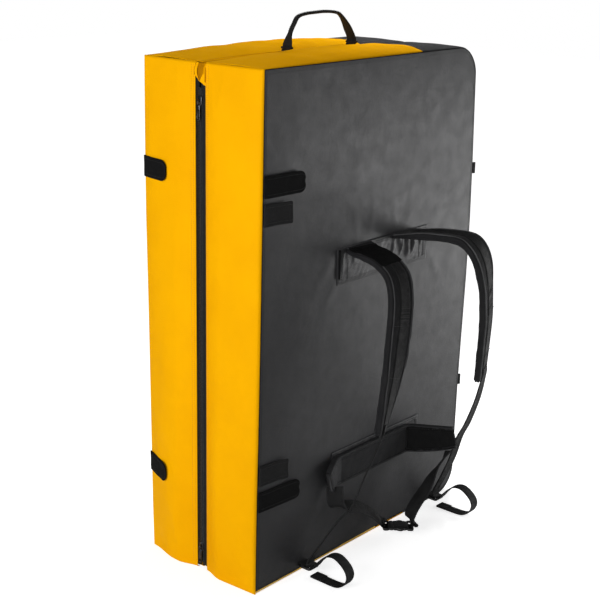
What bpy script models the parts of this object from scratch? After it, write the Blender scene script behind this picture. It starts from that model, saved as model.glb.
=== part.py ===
"""Bouldering crash pad, folded and standing on its short side.

Metres, +Z up. +X runs along the dark outer panel from the zip side to the fold side, and
-Y points out of the side that carries the harness. The origin is the middle of the carry
half's bottom face.
"""

import math

import bmesh
import bpy
import numpy as np
from mathutils import Matrix, Vector

# Driving dimensions of the folded pad
HEIGHT = 1.000  # seam to seam, standing
WIDTH = 0.658  # zip side to fold side
HALF_DEPTH = 0.145  # each half, landing face to outer seam
CREASE_GAP = 0.004  # between the two landing faces
CORNER_RADIUS = 0.060  # the two rounded corners at the fold side
FABRIC = 0.0015  # wall of every sewn panel
SEAT = 0.0003  # clearance between pieces that touch

# Fullness of the cover
PANEL_CROWN = 0.006
TOP_BULGE = 0.016
ZIP_SIDE_BULGE = 0.008
FOLD_SIDE_BULGE = 0.003
PANEL_POWER = 6
TOP_POWER = 3
END_POWER = 8

# Colour joint of the top and bottom strips
COLOUR_JOINT_SHARE = 0.71
FIRM_FOAM = 0.030

# Zip
ZIP_RAISE = 0.005  # tape plane proud of the side's seams
HEM_SETBACK = 0.0135  # hem edge from the middle of the zip
TAPE_THICKNESS = 0.001
ZIP_END_MARGIN = 0.020
CHAIN_WIDTH = 0.0044
CHAIN_THICKNESS = 0.003
CHAIN_SPLIT = 0.0016  # clear gap between the two chain halves
SLIDER_LENGTH = 0.022
SLIDER_WIDTH = 0.013
SLIDER_PLATE = 0.0012
SLIDER_BLADE = 0.0008
SLIDER_CLEARANCE = 0.0004
SLIDER_HEIGHT_FROM_END = 0.050
EAR_GAP = 0.0042
EAR_THICKNESS = 0.0012
EAR_HEIGHT = 0.0052
EAR_LENGTH = 0.0050
PIN_RADIUS = 0.0008
PIN_SIDES = 16
PULL_CLEARANCE = 0.0004
PULL_LENGTH = 0.034
PULL_WIDTH = 0.0080
PULL_THICKNESS = 0.0020
PULL_HOLE_RADIUS = 0.0022

# Fold hinge
FOLD_OFFSET = 0.005  # hinge line beyond the fold side's seams
LEAF_WIDTH = 0.030
LEAF_END_MARGIN = 0.004

# Hook and loop tabs
TAB_HEIGHT = 0.040
TAB_THICKNESS = 0.0018
TAB_CORNER = 0.014
PANEL_TAB_LENGTH = 0.104
SIDE_TAB_LENGTH = 0.070
LOOP_PATCH_LENGTH = 0.068
LOOP_PATCH_CORNER = 0.003
TAB_UPPER_SHARE = 0.794
TAB_LOWER_SHARE = 0.192
LOOP_UPPER_SHARE = 0.743
LOOP_LOWER_SHARE = 0.245
TAB_SET_IN = 0.002
FOLD_TAB_HEIGHT = 0.024
FOLD_TAB_REACH = 0.007
FOLD_TAB_UPPER_SHARE = 0.741
FOLD_TAB_LOWER_SHARE = 0.263

# Carry handle
WEBBING_WIDTH = 0.025
WEBBING_THICKNESS = 0.0022
HANDLE_SPAN = 0.204
HANDLE_RISE = 0.058
HANDLE_GRIP_WIDTH = 0.014
HANDLE_GRIP_THICKNESS = 0.0050
FOOT_THICKNESS = 0.0034  # doubled webbing at the handle's feet
FOOT_RADIUS = 0.0130
FOOT_SIDES = 24
GRIP_START_SHARE = 0.08  # where the folding of the grip begins
GRIP_FULL_SHARE = 0.24
HANDLE_SHIFT = -0.019  # middle of the handle from the middle of the pad
HANDLE_SET_IN = 0.0022  # webbing edge from the crease
HANDLE_SHARES = [
    (0.0, 0.0), (0.02, 0.27), (0.09, 0.57), (0.18, 0.84), (0.30, 0.96),
    (0.50, 1.0), (0.69, 0.90), (0.80, 0.70), (0.90, 0.38), (1.0, 0.0),
]

# Harness: places on the outer panel
HARNESS_SHIFT = 0.022  # harness middle from the panel's middle
PATCH_WIDTH = 0.290
PATCH_HEIGHT = 0.072
PATCH_THICKNESS = 0.0012
PATCH_HEIGHT_SHARE = 0.611
BELT_PATCH_HEIGHT = 0.076

# Shoulder straps
STRAP_WIDTH = 0.061
STRAP_END_WIDTH = 0.050
STRAP_ROOT_WIDTH = 0.096
STRAP_THICKNESS = 0.013
ROOT_HEIGHT = 0.641
LEFT_ROOT_OFFSET = -0.070  # from the harness middle
RIGHT_ROOT_OFFSET = 0.068
LEFT_ANCHOR_OFFSET = -0.225
RIGHT_ANCHOR_OFFSET = 0.206
LEFT_REACH = 0.120
RIGHT_REACH = 0.190
SWIVEL_OUT = 0.070  # swing axis from the panel, at the strap
SWIVEL_RADIUS = 0.045
SWIVEL_CLEARANCE = 0.0006
SWIVEL_SIDES = 41
SWIVEL_TOOL_TURN = 100  # degrees either side of the panel
SWIVEL_TOOL_GROWTH = 2.2
ROOT_TAPER_POWER = 0.7
LEFT_STRAP_SHARES = [
    (0.015, 1.0), (0.13, 1.003), (0.27, 1.005), (0.46, 0.995), (0.67, 0.954), (0.82, 0.903),
    (0.91, 0.848), (0.94, 0.804), (0.96, 0.714), (0.98, 0.620), (0.99, 0.496), (1.0, 0.434),
]
RIGHT_STRAP_SHARES = [
    (0.010, 1.0), (0.16, 1.007), (0.47, 1.021), (0.79, 1.026), (0.92, 1.002), (0.984, 0.957),
    (1.0, 0.900), (0.99, 0.835), (0.966, 0.753), (0.895, 0.632), (0.821, 0.516),
]
LEFT_WEBBING_SHARES = [
    (1.0, 0.431), (0.99, 0.382), (0.92, 0.336), (0.76, 0.223), (0.56, 0.165), (0.36, 0.098),
    (0.19, 0.035), (0.15, 0.015), (0.15, 0.0),
]
RIGHT_WEBBING_SHARES = [
    (0.821, 0.512), (0.789, 0.455), (0.632, 0.349), (0.505, 0.280), (0.379, 0.185),
    (0.222, 0.091), (0.115, 0.032), (0.095, 0.012), (0.095, 0.0),
]
# Turn of the strap's width in plan, in degrees, along each route
LEFT_STRAP_TURN_SHARES = [(0.0, 0.0), (0.5, 0.0), (0.8, 12.0), (1.0, 16.0)]
RIGHT_STRAP_TURN_SHARES = [(0.0, 0.0), (0.35, 4.0), (0.6, 27.0), (1.0, 27.0)]
LEFT_WEBBING_TURN_SHARES = [(0.0, 16.0), (0.35, 38.0), (0.75, 38.0), (0.95, 0.0), (1.0, 0.0)]
RIGHT_WEBBING_TURN_SHARES = [(0.0, 27.0), (0.35, 24.0), (0.75, 20.0), (0.95, 0.0), (1.0, 0.0)]

LEFT_TABLES = (LEFT_STRAP_SHARES, LEFT_STRAP_TURN_SHARES, LEFT_WEBBING_SHARES, LEFT_WEBBING_TURN_SHARES)
RIGHT_TABLES = (RIGHT_STRAP_SHARES, RIGHT_STRAP_TURN_SHARES, RIGHT_WEBBING_SHARES, RIGHT_WEBBING_TURN_SHARES)

# Lower anchors, ladder locks and tail loops
ANCHOR_HEIGHT = 0.018
ANCHOR_LENGTH = 0.008
ANCHOR_THICKNESS = 0.0030
LOCK_LENGTH = 0.026
LOCK_WIDTH = 0.032
LOCK_THICKNESS = 0.006
LOCK_RIM = 0.0034
LOCK_BAR = 0.0040
WEBBING_LIFT = 0.0010  # lower webbing's end above its lock
TAIL_START_SHARE = 0.88
TAIL_LENGTH = 0.092
TAIL_RISE = 0.062
TAIL_SHARES = [
    (0.0, 0.360), (0.07, 0.365), (0.20, 0.62), (0.42, 0.93), (0.66, 1.0), (0.90, 0.80),
    (1.0, 0.54), (0.94, 0.26), (0.78, 0.075), (0.60, 0.026), (0.30, 0.024), (0.02, 0.024),
]

# Waist belt
BELT_HEIGHT = 0.061
BELT_THICKNESS = 0.012
BELT_MIDDLE_WIDTH = 0.220
BELT_MIDDLE_SHIFT = -0.019  # belt's middle from the harness middle
BELT_HEIGHT_SHARE = 0.1905
BELT_WEBBING_WIDTH = 0.038
BELT_WEBBING_THICKNESS = 0.0020
BELT_SLOT = 0.0005  # between the belt's middle and its wings
LEFT_WING_SPAN = 0.034
LEFT_WING_DEPTH = 0.019
RIGHT_WING_SPAN = 0.046
RIGHT_WING_DEPTH = 0.086
RIGHT_WING_TIP_HEIGHT = 0.047
LEFT_WING_SHARES = [(0.0, 0.0), (0.34, 0.05), (0.70, 0.40), (1.0, 1.0)]
RIGHT_WING_SHARES = [(0.0, 0.0), (0.18, 0.04), (0.38, 0.16), (0.58, 0.36), (0.78, 0.64), (1.0, 1.0)]

TIP_LIFT_SHARE = 0.35  # how far a narrower tip sits above the belt's middle line
WEBBING_SEAT_SHARE = 0.70  # where along a wing its webbing hangs
BELT_DRAPE = 0.040  # how far the loose webbing hangs out
BELT_LEAD = 0.016  # straight webbing before a buckle half
# Routes from the wing (0) to the buckle (1): along X, out in drapes, down
LEFT_BELT_ROUTE = [
    (0.0, 0.0, 0.07), (-0.03, 0.28, 0.20), (-0.04, 0.42, 0.34), (0.10, 0.46, 0.46),
    (0.36, 0.40, 0.58), (0.66, 0.24, 0.78),
]
RIGHT_BELT_ROUTE = [
    (0.0, 0.0, 0.07), (0.06, 0.20, 0.20), (0.20, 0.42, 0.40), (0.45, 0.62, 0.62), (0.72, 0.76, 0.84),
]
# Width directions along them, in even steps after the wing's own
LEFT_BELT_ACROSS = [
    (-0.75, -0.6, 0.0), (-0.4, -0.85, 0.15), (0.0, -0.9, 0.35), (0.2, -0.85, 0.45), (0.0, -0.9, 0.35),
    (-0.5, -0.8, 0.1), (-0.76, -0.65, 0.0), (-0.76, -0.65, 0.0),
]
RIGHT_BELT_ACROSS = [
    (0.0, -0.95, 0.0), (-0.3, -0.9, -0.1), (-0.5, -0.8, -0.1), (-0.7, -0.7, 0.0), (-0.76, -0.65, 0.0),
    (-0.76, -0.65, 0.0),
]

BELT_TABLES = {
    "left": (LEFT_BELT_ROUTE, LEFT_BELT_ACROSS),
    "right": (RIGHT_BELT_ROUTE, RIGHT_BELT_ACROSS),
}

# Buckle of the waist belt
BUCKLE_X = 0.045
BUCKLE_OUT = 0.054  # middle of the buckle from the outer panel's seam plane
BUCKLE_Z = 0.022
BUCKLE_TURN = 49.5  # degrees, buckle axis in plan from +X towards -Y
BUCKLE_WIDTH = 0.050
BUCKLE_THICKNESS = 0.012
FEMALE_LENGTH = 0.042
MALE_BASE = 0.024
BUCKLE_WALL = 0.0020
BUCKLE_RIM = 0.0030
PRONG_LENGTH = 0.022
PRONG_WIDTH = 0.0060
PRONG_INSET = 0.0050
PRONG_CLEARANCE = 0.0004
TONGUE_WIDTH = 0.008
WEBBING_SLOT = 0.0050
SLOT_BAR = 0.0040

# Materials: colour, roughness, metallic
YELLOW = ("yellow_cover", (0.93, 0.47, 0.01), 0.60, 0.0)
DARK = ("dark_cover", (0.045, 0.046, 0.050), 0.55, 0.0)
LANDING = ("landing_cover", (0.060, 0.062, 0.066), 0.60, 0.0)
SOFT_FOAM = ("soft_foam", (0.75, 0.73, 0.62), 0.95, 0.0)
HARD_FOAM = ("hard_foam", (0.10, 0.10, 0.10), 0.90, 0.0)
BLACK_WEB = ("black_webbing", (0.014, 0.014, 0.015), 0.65, 0.0)
BLACK_PAD = ("black_padding", (0.020, 0.020, 0.022), 0.80, 0.0)
BLACK_PLASTIC = ("black_plastic", (0.012, 0.012, 0.013), 0.35, 0.0)
BLACK_TAPE = ("hook_and_loop", (0.012, 0.012, 0.012), 0.95, 0.0)
ZIP_METAL = ("slider_metal", (0.06, 0.06, 0.065), 0.30, 0.9)
ZIP_COIL = ("zip_coil", (0.020, 0.020, 0.022), 0.45, 0.0)

# Places that follow from the sizes above
ZIP_X = -WIDTH / 2
FOLD_X = WIDTH / 2
FRONT = -HALF_DEPTH / 2
SPLIT = (HALF_DEPTH + CREASE_GAP) / 2
PLATEAU = FRONT - PANEL_CROWN
HINGE_X = FOLD_X + FOLD_OFFSET
HARNESS_X = HARNESS_SHIFT
PATCH_FRONT = PLATEAU - SEAT - PATCH_THICKNESS
SEGMENTS = 6  # steps of each rounded corner
PANEL_ROWS = 11  # grid lines each way over a panel
STRIP_ROWS = 7  # grid lines across a strip
RIBBON_STEPS = 32  # stations along a strap
TAB_COLUMNS = np.linspace(-1, 1, 3)
CARRY, FAR = -1, 1
X_AXIS, Y_AXIS, Z_AXIS = np.eye(3)


def clear_scene():
    for item in list(bpy.data.objects):
        bpy.data.objects.remove(item, do_unlink=True)


def material(spec):
    name, colour, roughness, metallic = spec
    found = bpy.data.materials.get(name)
    if found:
        return found
    made = bpy.data.materials.new(name)
    made.use_nodes = True
    shader = made.node_tree.nodes["Principled BSDF"]
    shader.inputs["Base Color"].default_value = (*colour, 1.0)
    shader.inputs["Roughness"].default_value = roughness
    shader.inputs["Metallic"].default_value = metallic
    made.diffuse_color = (*colour, 1.0)
    return made


def add_solid(name, points, faces, spec, pivot=(0, 0, 0), sharp_degrees=40):
    """Closed mesh from points in the part's frame, with its origin at the pivot."""
    mesh = bpy.data.meshes.new(name)
    shifted = np.asarray(points, float) - np.asarray(pivot, float)
    mesh.from_pydata(shifted.tolist(), [], faces)
    work = bmesh.new()
    work.from_mesh(mesh)
    bmesh.ops.recalc_face_normals(work, faces=work.faces)
    work.to_mesh(mesh)
    work.free()
    mesh.shade_smooth()
    mesh.set_sharp_from_angle(angle=math.radians(sharp_degrees))
    mesh.materials.append(material(spec))
    item = bpy.data.objects.new(name, mesh)
    item.location = pivot
    bpy.context.collection.objects.link(item)
    return item


def add_shell(name, outer, inner, spec, pivot=(0, 0, 0)):
    """Closed sheet between two grids of points of the same shape (rows, columns, 3)."""
    rows, columns = outer.shape[:2]
    points = np.concatenate([outer.reshape(-1, 3), inner.reshape(-1, 3)])
    half = rows * columns
    faces = []
    for i in range(rows - 1):
        for j in range(columns - 1):
            a = i * columns + j
            quad = (a, a + 1, a + columns + 1, a + columns)
            faces.append(quad)
            faces.append(tuple(half + k for k in reversed(quad)))
    rim = [i * columns for i in range(rows)]
    rim += [(rows - 1) * columns + j for j in range(1, columns)]
    rim += [i * columns + columns - 1 for i in range(rows - 2, -1, -1)]
    rim += [j for j in range(columns - 2, 0, -1)]
    for a, b in zip(rim, rim[1:] + rim[:1]):
        faces.append((a, b, half + b, half + a))
    return add_solid(name, points, faces, spec, pivot)


def add_prism(name, outline, reach, spec, pivot=(0, 0, 0)):
    """Flat outline of 3-D points carried along one vector."""
    base = np.asarray(outline, float)
    count = len(base)
    points = np.concatenate([base, base + np.asarray(reach, float)])
    faces = [tuple(range(count)), tuple(range(2 * count - 1, count - 1, -1))]
    for a in range(count):
        b = (a + 1) % count
        faces.append((a, b, count + b, count + a))
    return add_solid(name, points, faces, spec, pivot)


def add_ribbon(name, path, across, widths, thicknesses, section, spec, pivot=(0, 0, 0), ends=(None, None)):
    """Section of (width, thickness) shares carried along a path with a width direction.

    The directions in ends, where given, square the first and last sections to them.
    """
    tangents = path_tangents(path)
    for row, way in zip((0, -1), ends):
        if way is not None:
            tangents[row] = way
    across = across - tangents * np.sum(across * tangents, axis=1, keepdims=True)
    across /= np.linalg.norm(across, axis=1, keepdims=True)
    normals = np.cross(tangents, across)
    shape = np.asarray(section, float)
    sideways = shape[None, :, 0, None] * widths[:, None, None] / 2 * across[:, None, :]
    upwards = shape[None, :, 1, None] * thicknesses[:, None, None] / 2 * normals[:, None, :]
    rings = path[:, None, :] + sideways + upwards
    stations, count = rings.shape[:2]
    faces = [tuple(range(count)), tuple((stations - 1) * count + k for k in reversed(range(count)))]
    for i in range(stations - 1):
        for k in range(count):
            n = (k + 1) % count
            low, high = i * count, (i + 1) * count
            faces.append((low + k, low + n, high + n, high + k))
    return add_solid(name, rings.reshape(-1, 3), faces, spec, pivot)


def add_cells(name, cuts_a, cuts_b, cuts_c, filled, axes, origin, spec, pivot=(0, 0, 0)):
    """Solid made of the filled cells of a box grid along three axes."""
    index = {}
    points = []
    faces = []
    shape = (len(cuts_a) - 1, len(cuts_b) - 1, len(cuts_c) - 1)

    def corner(i, j, k):
        if (i, j, k) not in index:
            index[i, j, k] = len(points)
            place = cuts_a[i] * axes[0] + cuts_b[j] * axes[1] + cuts_c[k] * axes[2]
            points.append(np.asarray(origin) + place)
        return index[i, j, k]

    def solid(cell):
        inside = all(0 <= cell[n] < shape[n] for n in range(3))
        return inside and filled(*cell)

    for cell in np.ndindex(*shape):
        if not filled(*cell):
            continue
        for axis in range(3):
            for step in (0, 1):
                beside = list(cell)
                beside[axis] += 2 * step - 1
                if solid(beside):
                    continue
                p, q = [n for n in range(3) if n != axis]
                ring = []
                for u, v in ((0, 0), (1, 0), (1, 1), (0, 1)):
                    at = list(cell)
                    at[axis] += step
                    at[p] += u
                    at[q] += v
                    ring.append(corner(*at))
                faces.append(tuple(ring))
    return add_solid(name, points, faces, spec, pivot)


def move_origin(item, pivot):
    """Put an object's origin at its pivot without moving its faces."""
    item.data.transform(Matrix.Translation(item.location - Vector(pivot)))
    item.location = pivot
    return item


def cutter_from(item):
    item.display_type = "WIRE"
    item.hide_render = True
    return item


def add_boolean(item, other, operation):
    modifier = item.modifiers.new(operation.lower(), "BOOLEAN")
    modifier.operation = operation
    modifier.solver = "EXACT"
    modifier.object = cutter_from(other)
    return item


def pillow(share, power):
    """0 at both ends and 1 in between, flatter in the middle for a higher power."""
    return 1 - np.abs(2 * np.asarray(share, float) - 1) ** power


def spaced(count):
    """Shares from 0 to 1, closer together at both ends."""
    return (1 - np.cos(np.linspace(0, math.pi, count))) / 2


def smooth_route(points, count):
    """Evenly spaced points on a Catmull-Rom curve through the given ones."""
    given = np.asarray(points, float)
    ends = np.concatenate([[2 * given[0] - given[1]], given, [2 * given[-1] - given[-2]]])
    fine = []
    steps = np.linspace(0, 1, 16, endpoint=False)[:, None]
    for a, b, c, d in zip(ends, ends[1:], ends[2:], ends[3:]):
        linear = c - a
        square = 2 * a - 5 * b + 4 * c - d
        cube = 3 * b - a - 3 * c + d
        fine.append(b + (linear * steps + square * steps**2 + cube * steps**3) / 2)
    fine = np.concatenate([*fine, given[-1:]])
    along = np.concatenate([[0], np.cumsum(np.linalg.norm(np.diff(fine, axis=0), axis=1))])
    wanted = np.linspace(0, along[-1], count)
    return np.stack([np.interp(wanted, along, fine[:, n]) for n in range(3)], axis=1)


def path_tangents(path):
    steps = np.gradient(path, axis=0)
    return steps / np.linalg.norm(steps, axis=1, keepdims=True)


def read_shares(table, shares):
    where, what = np.asarray(table, float).T
    return np.interp(shares, where, what)


def outline_limits(x):
    """Lowest and highest point of the side outline at x, rounded at the fold side."""
    radius = CORNER_RADIUS
    past = np.clip(x - (FOLD_X - radius), 0, radius)
    rise = radius - np.sqrt(np.maximum(radius**2 - past**2, 0))
    return rise, HEIGHT - rise


def outline_points(inset):
    """Side outline in X and Z, counter-clockwise from the lower zip corner."""
    radius = CORNER_RADIUS
    turn = np.linspace(-math.pi / 2, 0, SEGMENTS + 1)
    right = FOLD_X - inset - radius
    lower = np.stack([right + radius * np.cos(turn), inset + radius + radius * np.sin(turn)], 1)
    upper = lower[::-1] * (1, -1) + (0, HEIGHT)
    left = ZIP_X + inset
    return np.concatenate([[(left, inset)], lower, upper, [(left, HEIGHT - inset)]])


def panel_columns():
    """X places of the panel's columns: along the flat part, then round the corners."""
    start = FOLD_X - CORNER_RADIUS
    flat = ZIP_X + (start - ZIP_X) * spaced(PANEL_ROWS)
    arc = start + CORNER_RADIUS * np.sin(np.linspace(0, math.pi / 2, SEGMENTS + 1))
    return np.concatenate([flat, arc[1:]])


def crown_at(x, z):
    """Height of the outer panel's crown over its seam plane."""
    low, high = outline_limits(x)
    share = np.clip((z - low) / (high - low), 0, 1)
    return PANEL_CROWN * pillow((x - ZIP_X) / WIDTH, PANEL_POWER) * pillow(share, PANEL_POWER)


def outer_plane(side):
    return SPLIT + side * (CREASE_GAP / 2 + HALF_DEPTH)


def landing_plane(side):
    return SPLIT + side * CREASE_GAP / 2


def strip_edges(side):
    """Y of a strip's edge at the outer panel and at the landing panel."""
    wall = FABRIC + SEAT
    return outer_plane(side) - side * wall, landing_plane(side) + side * wall


def add_outer_panel(name, side):
    x = panel_columns()
    low, high = outline_limits(x)
    share = spaced(PANEL_ROWS)
    z = low[:, None] + (high - low)[:, None] * share[None, :]
    x = np.repeat(x[:, None], z.shape[1], axis=1)
    outer = np.stack([x, outer_plane(side) + side * crown_at(x, z), z], axis=2)
    inner = outer - side * FABRIC * Y_AXIS
    add_shell(name, outer, inner, DARK)


def add_slab(name, inset, near, far, spec):
    """Slab with the side outline between two planes of Y."""
    flat = outline_points(inset)
    outline = np.stack([flat[:, 0], np.full(len(flat), near), flat[:, 1]], axis=1)
    add_prism(name, outline, (far - near) * Y_AXIS, spec)


def rim_lengths():
    """Lengths of the rim's stretches: top, arc, fold side, arc, bottom."""
    straight = WIDTH - CORNER_RADIUS
    arc = math.pi / 2 * CORNER_RADIUS
    return straight, arc, HEIGHT - 2 * CORNER_RADIUS, arc, straight


def rim_at(along):
    """Point and outward direction of the rim at a distance from the top zip corner."""
    top, arc, side, _, _ = rim_lengths()
    centre_x = FOLD_X - CORNER_RADIUS
    if along <= top:
        return (ZIP_X + along, HEIGHT), (0, 1)
    if along <= top + arc:
        angle = math.pi / 2 - (along - top) / CORNER_RADIUS
        way = (math.cos(angle), math.sin(angle))
        centre_z = HEIGHT - CORNER_RADIUS
        return (centre_x + CORNER_RADIUS * way[0], centre_z + CORNER_RADIUS * way[1]), way
    if along <= top + arc + side:
        return (FOLD_X, HEIGHT - CORNER_RADIUS - (along - top - arc)), (1, 0)
    if along <= top + 2 * arc + side:
        angle = -(along - top - arc - side) / CORNER_RADIUS
        way = (math.cos(angle), math.sin(angle))
        return (centre_x + CORNER_RADIUS * way[0], CORNER_RADIUS * (1 + way[1])), way
    return (centre_x - (along - top - 2 * arc - side), 0), (0, -1)


def rim_bulge(along):
    """Bulge of the strip's middle: full on the top, slight at the fold side, none below."""
    top, arc, side, _, _ = rim_lengths()
    fold_start, fold_end = top + arc, top + arc + side
    places = [0, CORNER_RADIUS, top - 2 * CORNER_RADIUS, fold_start, fold_end, fold_end + arc]
    heights = [TOP_BULGE / 3, TOP_BULGE, TOP_BULGE, FOLD_SIDE_BULGE, FOLD_SIDE_BULGE, 0]
    return float(np.interp(along, places, heights))


def rim_rows(start, end):
    """Distances of a strip's rows: its ends, the top's spread and each step of the arcs."""
    top, arc, side, _, _ = rim_lengths()
    turn = np.linspace(0, arc, SEGMENTS + 1)
    crown = (COLOUR_JOINT_SHARE * WIDTH) * spaced(STRIP_ROWS)
    steps = np.concatenate([crown, top + turn, top + arc + side + turn])
    inside = steps[(steps > start + FABRIC) & (steps < end - FABRIC)]
    return np.concatenate([[start + SEAT / 2], inside, [end - SEAT / 2]])


def add_rim_strip(name, side, start, end, spec):
    """Part of the strip that runs round the rim, from one distance to another."""
    y_out, y_in = strip_edges(side)
    share = spaced(STRIP_ROWS)
    y = y_out + (y_in - y_out) * share
    rows = rim_rows(start, end)
    outer = np.zeros((len(rows), len(y), 3))
    inner = np.zeros_like(outer)
    for row, along in enumerate(rows):
        (x, z), (way_x, way_z) = rim_at(along)
        lift = rim_bulge(along) * pillow(share, TOP_POWER)
        outer[row] = np.stack([x + way_x * lift, y, z + way_z * lift], axis=1)
        inner[row] = outer[row] - FABRIC * np.array([way_x, 0, way_z])
    add_shell(name, outer, inner, spec)


def zip_side_out(share):
    """How far the zip side stands out, from the panel's seam (0) to the hem (1)."""
    return ZIP_RAISE * np.asarray(share) + ZIP_SIDE_BULGE * pillow(share, TOP_POWER)


def zip_side_lift(share, z):
    ends = pillow(z / HEIGHT, END_POWER)
    return ZIP_RAISE * share + (zip_side_out(share) - ZIP_RAISE * share) * ends


def hem_edge(side):
    return SPLIT + side * HEM_SETBACK


def add_zip_side(name, side):
    y_out = strip_edges(side)[0]
    share = spaced(STRIP_ROWS)
    wall = FABRIC + SEAT
    z = wall + (HEIGHT - 2 * wall) * spaced(PANEL_ROWS)
    share, z = np.meshgrid(share, z)
    y = y_out + (hem_edge(side) - y_out) * share
    outer = np.stack([ZIP_X - zip_side_lift(share, z), y, z], axis=2)
    inner = outer + FABRIC * X_AXIS
    add_shell(name, outer, inner, YELLOW)


def add_box(name, low, high, spec, pivot=(0, 0, 0)):
    low, high = np.asarray(low, float), np.asarray(high, float)
    outline = [low, (high[0], low[1], low[2]), (high[0], high[1], low[2]), (low[0], high[1], low[2])]
    return add_prism(name, outline, (0, 0, high[2] - low[2]), spec, pivot)


def add_zip_half(prefix, side):
    """Tape and chain of one side of the zip."""
    middle = ZIP_X - ZIP_RAISE + FABRIC / 2
    near = SPLIT + side * CHAIN_SPLIT / 2
    chain_edge = near + side * CHAIN_WIDTH
    low, high = ZIP_END_MARGIN, HEIGHT - 2 * ZIP_END_MARGIN
    tape = sorted([hem_edge(side) - side * SEAT, chain_edge + side * SEAT])
    chain = sorted([near, chain_edge])
    half = TAPE_THICKNESS / 2
    add_box(prefix + "_zip_tape", (middle - half, tape[0], low / 2), (middle + half, tape[1], high), BLACK_WEB)
    half = CHAIN_THICKNESS / 2
    add_box(prefix + "_zip_chain", (middle - half, chain[0], low), (middle + half, chain[1], high), ZIP_COIL)


def add_hinge_leaf(name, side):
    """Half of the fold strip: flat on the fold side, then out to the hinge line."""
    gap = SEAT
    y_edge = SPLIT + side * gap
    y_wrap = landing_plane(side) + side * 2 * FABRIC
    y_start = SPLIT + side * LEAF_WIDTH
    skin = FOLD_X + gap
    share = (y_wrap - strip_edges(side)[1]) / (strip_edges(side)[0] - strip_edges(side)[1])
    face = skin + FOLD_SIDE_BULGE * float(pillow(abs(share), TOP_POWER))
    far_share = abs(y_start - strip_edges(side)[1]) / (HALF_DEPTH - 2 * (FABRIC + SEAT))
    far_face = skin + FOLD_SIDE_BULGE * float(pillow(far_share, TOP_POWER)) + gap
    tip = HINGE_X - gap
    low = CORNER_RADIUS + LEAF_END_MARGIN
    outline = [
        (far_face, y_start, low), (far_face + FABRIC, y_start, low),
        (tip, y_wrap, low), (tip, y_edge, low), (skin, y_edge, low), (face + gap, y_wrap, low),
    ]
    add_prism(name, outline, (0, 0, HEIGHT - 2 * low), DARK)


def add_half(prefix, side):
    """Cover, foam, hinge leaf and zip half of one side of the folded pad."""
    top, arc, fold, _, bottom = rim_lengths()
    joint = COLOUR_JOINT_SHARE * WIDTH
    fold_start = top + arc
    fold_end = fold_start + fold
    bottom_joint = fold_end + arc + bottom - joint
    add_outer_panel(prefix + "_outer_panel", side)
    add_zip_side(prefix + "_zip_side", side)
    add_rim_strip(prefix + "_top_yellow", side, SEAT, joint, YELLOW)
    add_rim_strip(prefix + "_top_dark", side, joint, fold_start, DARK)
    add_rim_strip(prefix + "_fold_side", side, fold_start, fold_end, DARK)
    add_rim_strip(prefix + "_bottom_dark", side, fold_end, bottom_joint, DARK)
    end = bottom_joint + joint - SEAT
    add_rim_strip(prefix + "_bottom_yellow", side, bottom_joint, end, YELLOW)
    near = landing_plane(side)
    add_slab(prefix + "_landing_panel", 0, near, near + side * FABRIC, LANDING)
    inset = FABRIC + SEAT
    firm = near + side * inset
    soft = firm + side * FIRM_FOAM
    add_slab(prefix + "_firm_foam", inset, firm, soft, HARD_FOAM)
    last = outer_plane(side) - side * inset
    add_slab(prefix + "_soft_foam", inset, soft + side * SEAT, last, SOFT_FOAM)
    add_hinge_leaf(prefix + "_hinge_leaf", side)
    add_zip_half(prefix, side)
    if side == FAR:
        for item in bpy.data.objects:
            if item.name.startswith(prefix + "_"):
                move_origin(item, (HINGE_X, SPLIT, 0))


def tab_limits(share, length, corner):
    """Half height of a tab with rounded corners, at a share of its length."""
    past = np.clip(share * length - (length - corner), 0, corner)
    return TAB_HEIGHT / 2 - corner + np.sqrt(np.maximum(corner**2 - past**2, 0))


def tab_shares(length, corner):
    turn = np.sin(np.linspace(0, math.pi / 2, SEGMENTS))
    start = (length - corner) / length
    return np.concatenate([np.linspace(0, start, SEGMENTS)[:-1], start + (1 - start) * turn])


def add_panel_tab(name, height, length, corner, hinged):
    """Tab on the carry half's outer panel, sewn in the near seam."""
    shares = tab_shares(length, corner)
    x = ZIP_X + TAB_SET_IN + shares * length
    z = height + tab_limits(shares, length, corner)[:, None] * TAB_COLUMNS
    x = np.repeat(x[:, None], z.shape[1], axis=1)
    inner_y = FRONT - crown_at(x, np.full_like(z, height)) - 2 * SEAT
    inner = np.stack([x, inner_y, z], axis=2)
    outer = inner - TAB_THICKNESS * Y_AXIS
    pivot = (ZIP_X, FRONT, height) if hinged else (0, 0, 0)
    add_shell(name, outer, inner, BLACK_TAPE, pivot)


def add_side_tab(name, height):
    """Tab of the far half, sewn in its outer seam and lying on the yellow side."""
    y_out = strip_edges(FAR)[0]
    span = y_out - hem_edge(FAR)
    shares = tab_shares(SIDE_TAB_LENGTH, TAB_CORNER)
    y = outer_plane(FAR) - TAB_SET_IN - shares * SIDE_TAB_LENGTH
    across = np.clip((y_out - y) / span, 0, 1)
    half = tab_limits(shares, SIDE_TAB_LENGTH, TAB_CORNER)
    z = height + half[:, None] * TAB_COLUMNS
    inner_x = ZIP_X - zip_side_out(across) - 2 * SEAT
    inner_x = np.repeat(inner_x[:, None], z.shape[1], axis=1)
    inner = np.stack([inner_x, np.repeat(y[:, None], z.shape[1], axis=1), z], axis=2)
    outer = inner - TAB_THICKNESS * X_AXIS
    add_shell(name, outer, inner, BLACK_TAPE, (ZIP_X, outer_plane(FAR), height))


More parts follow.
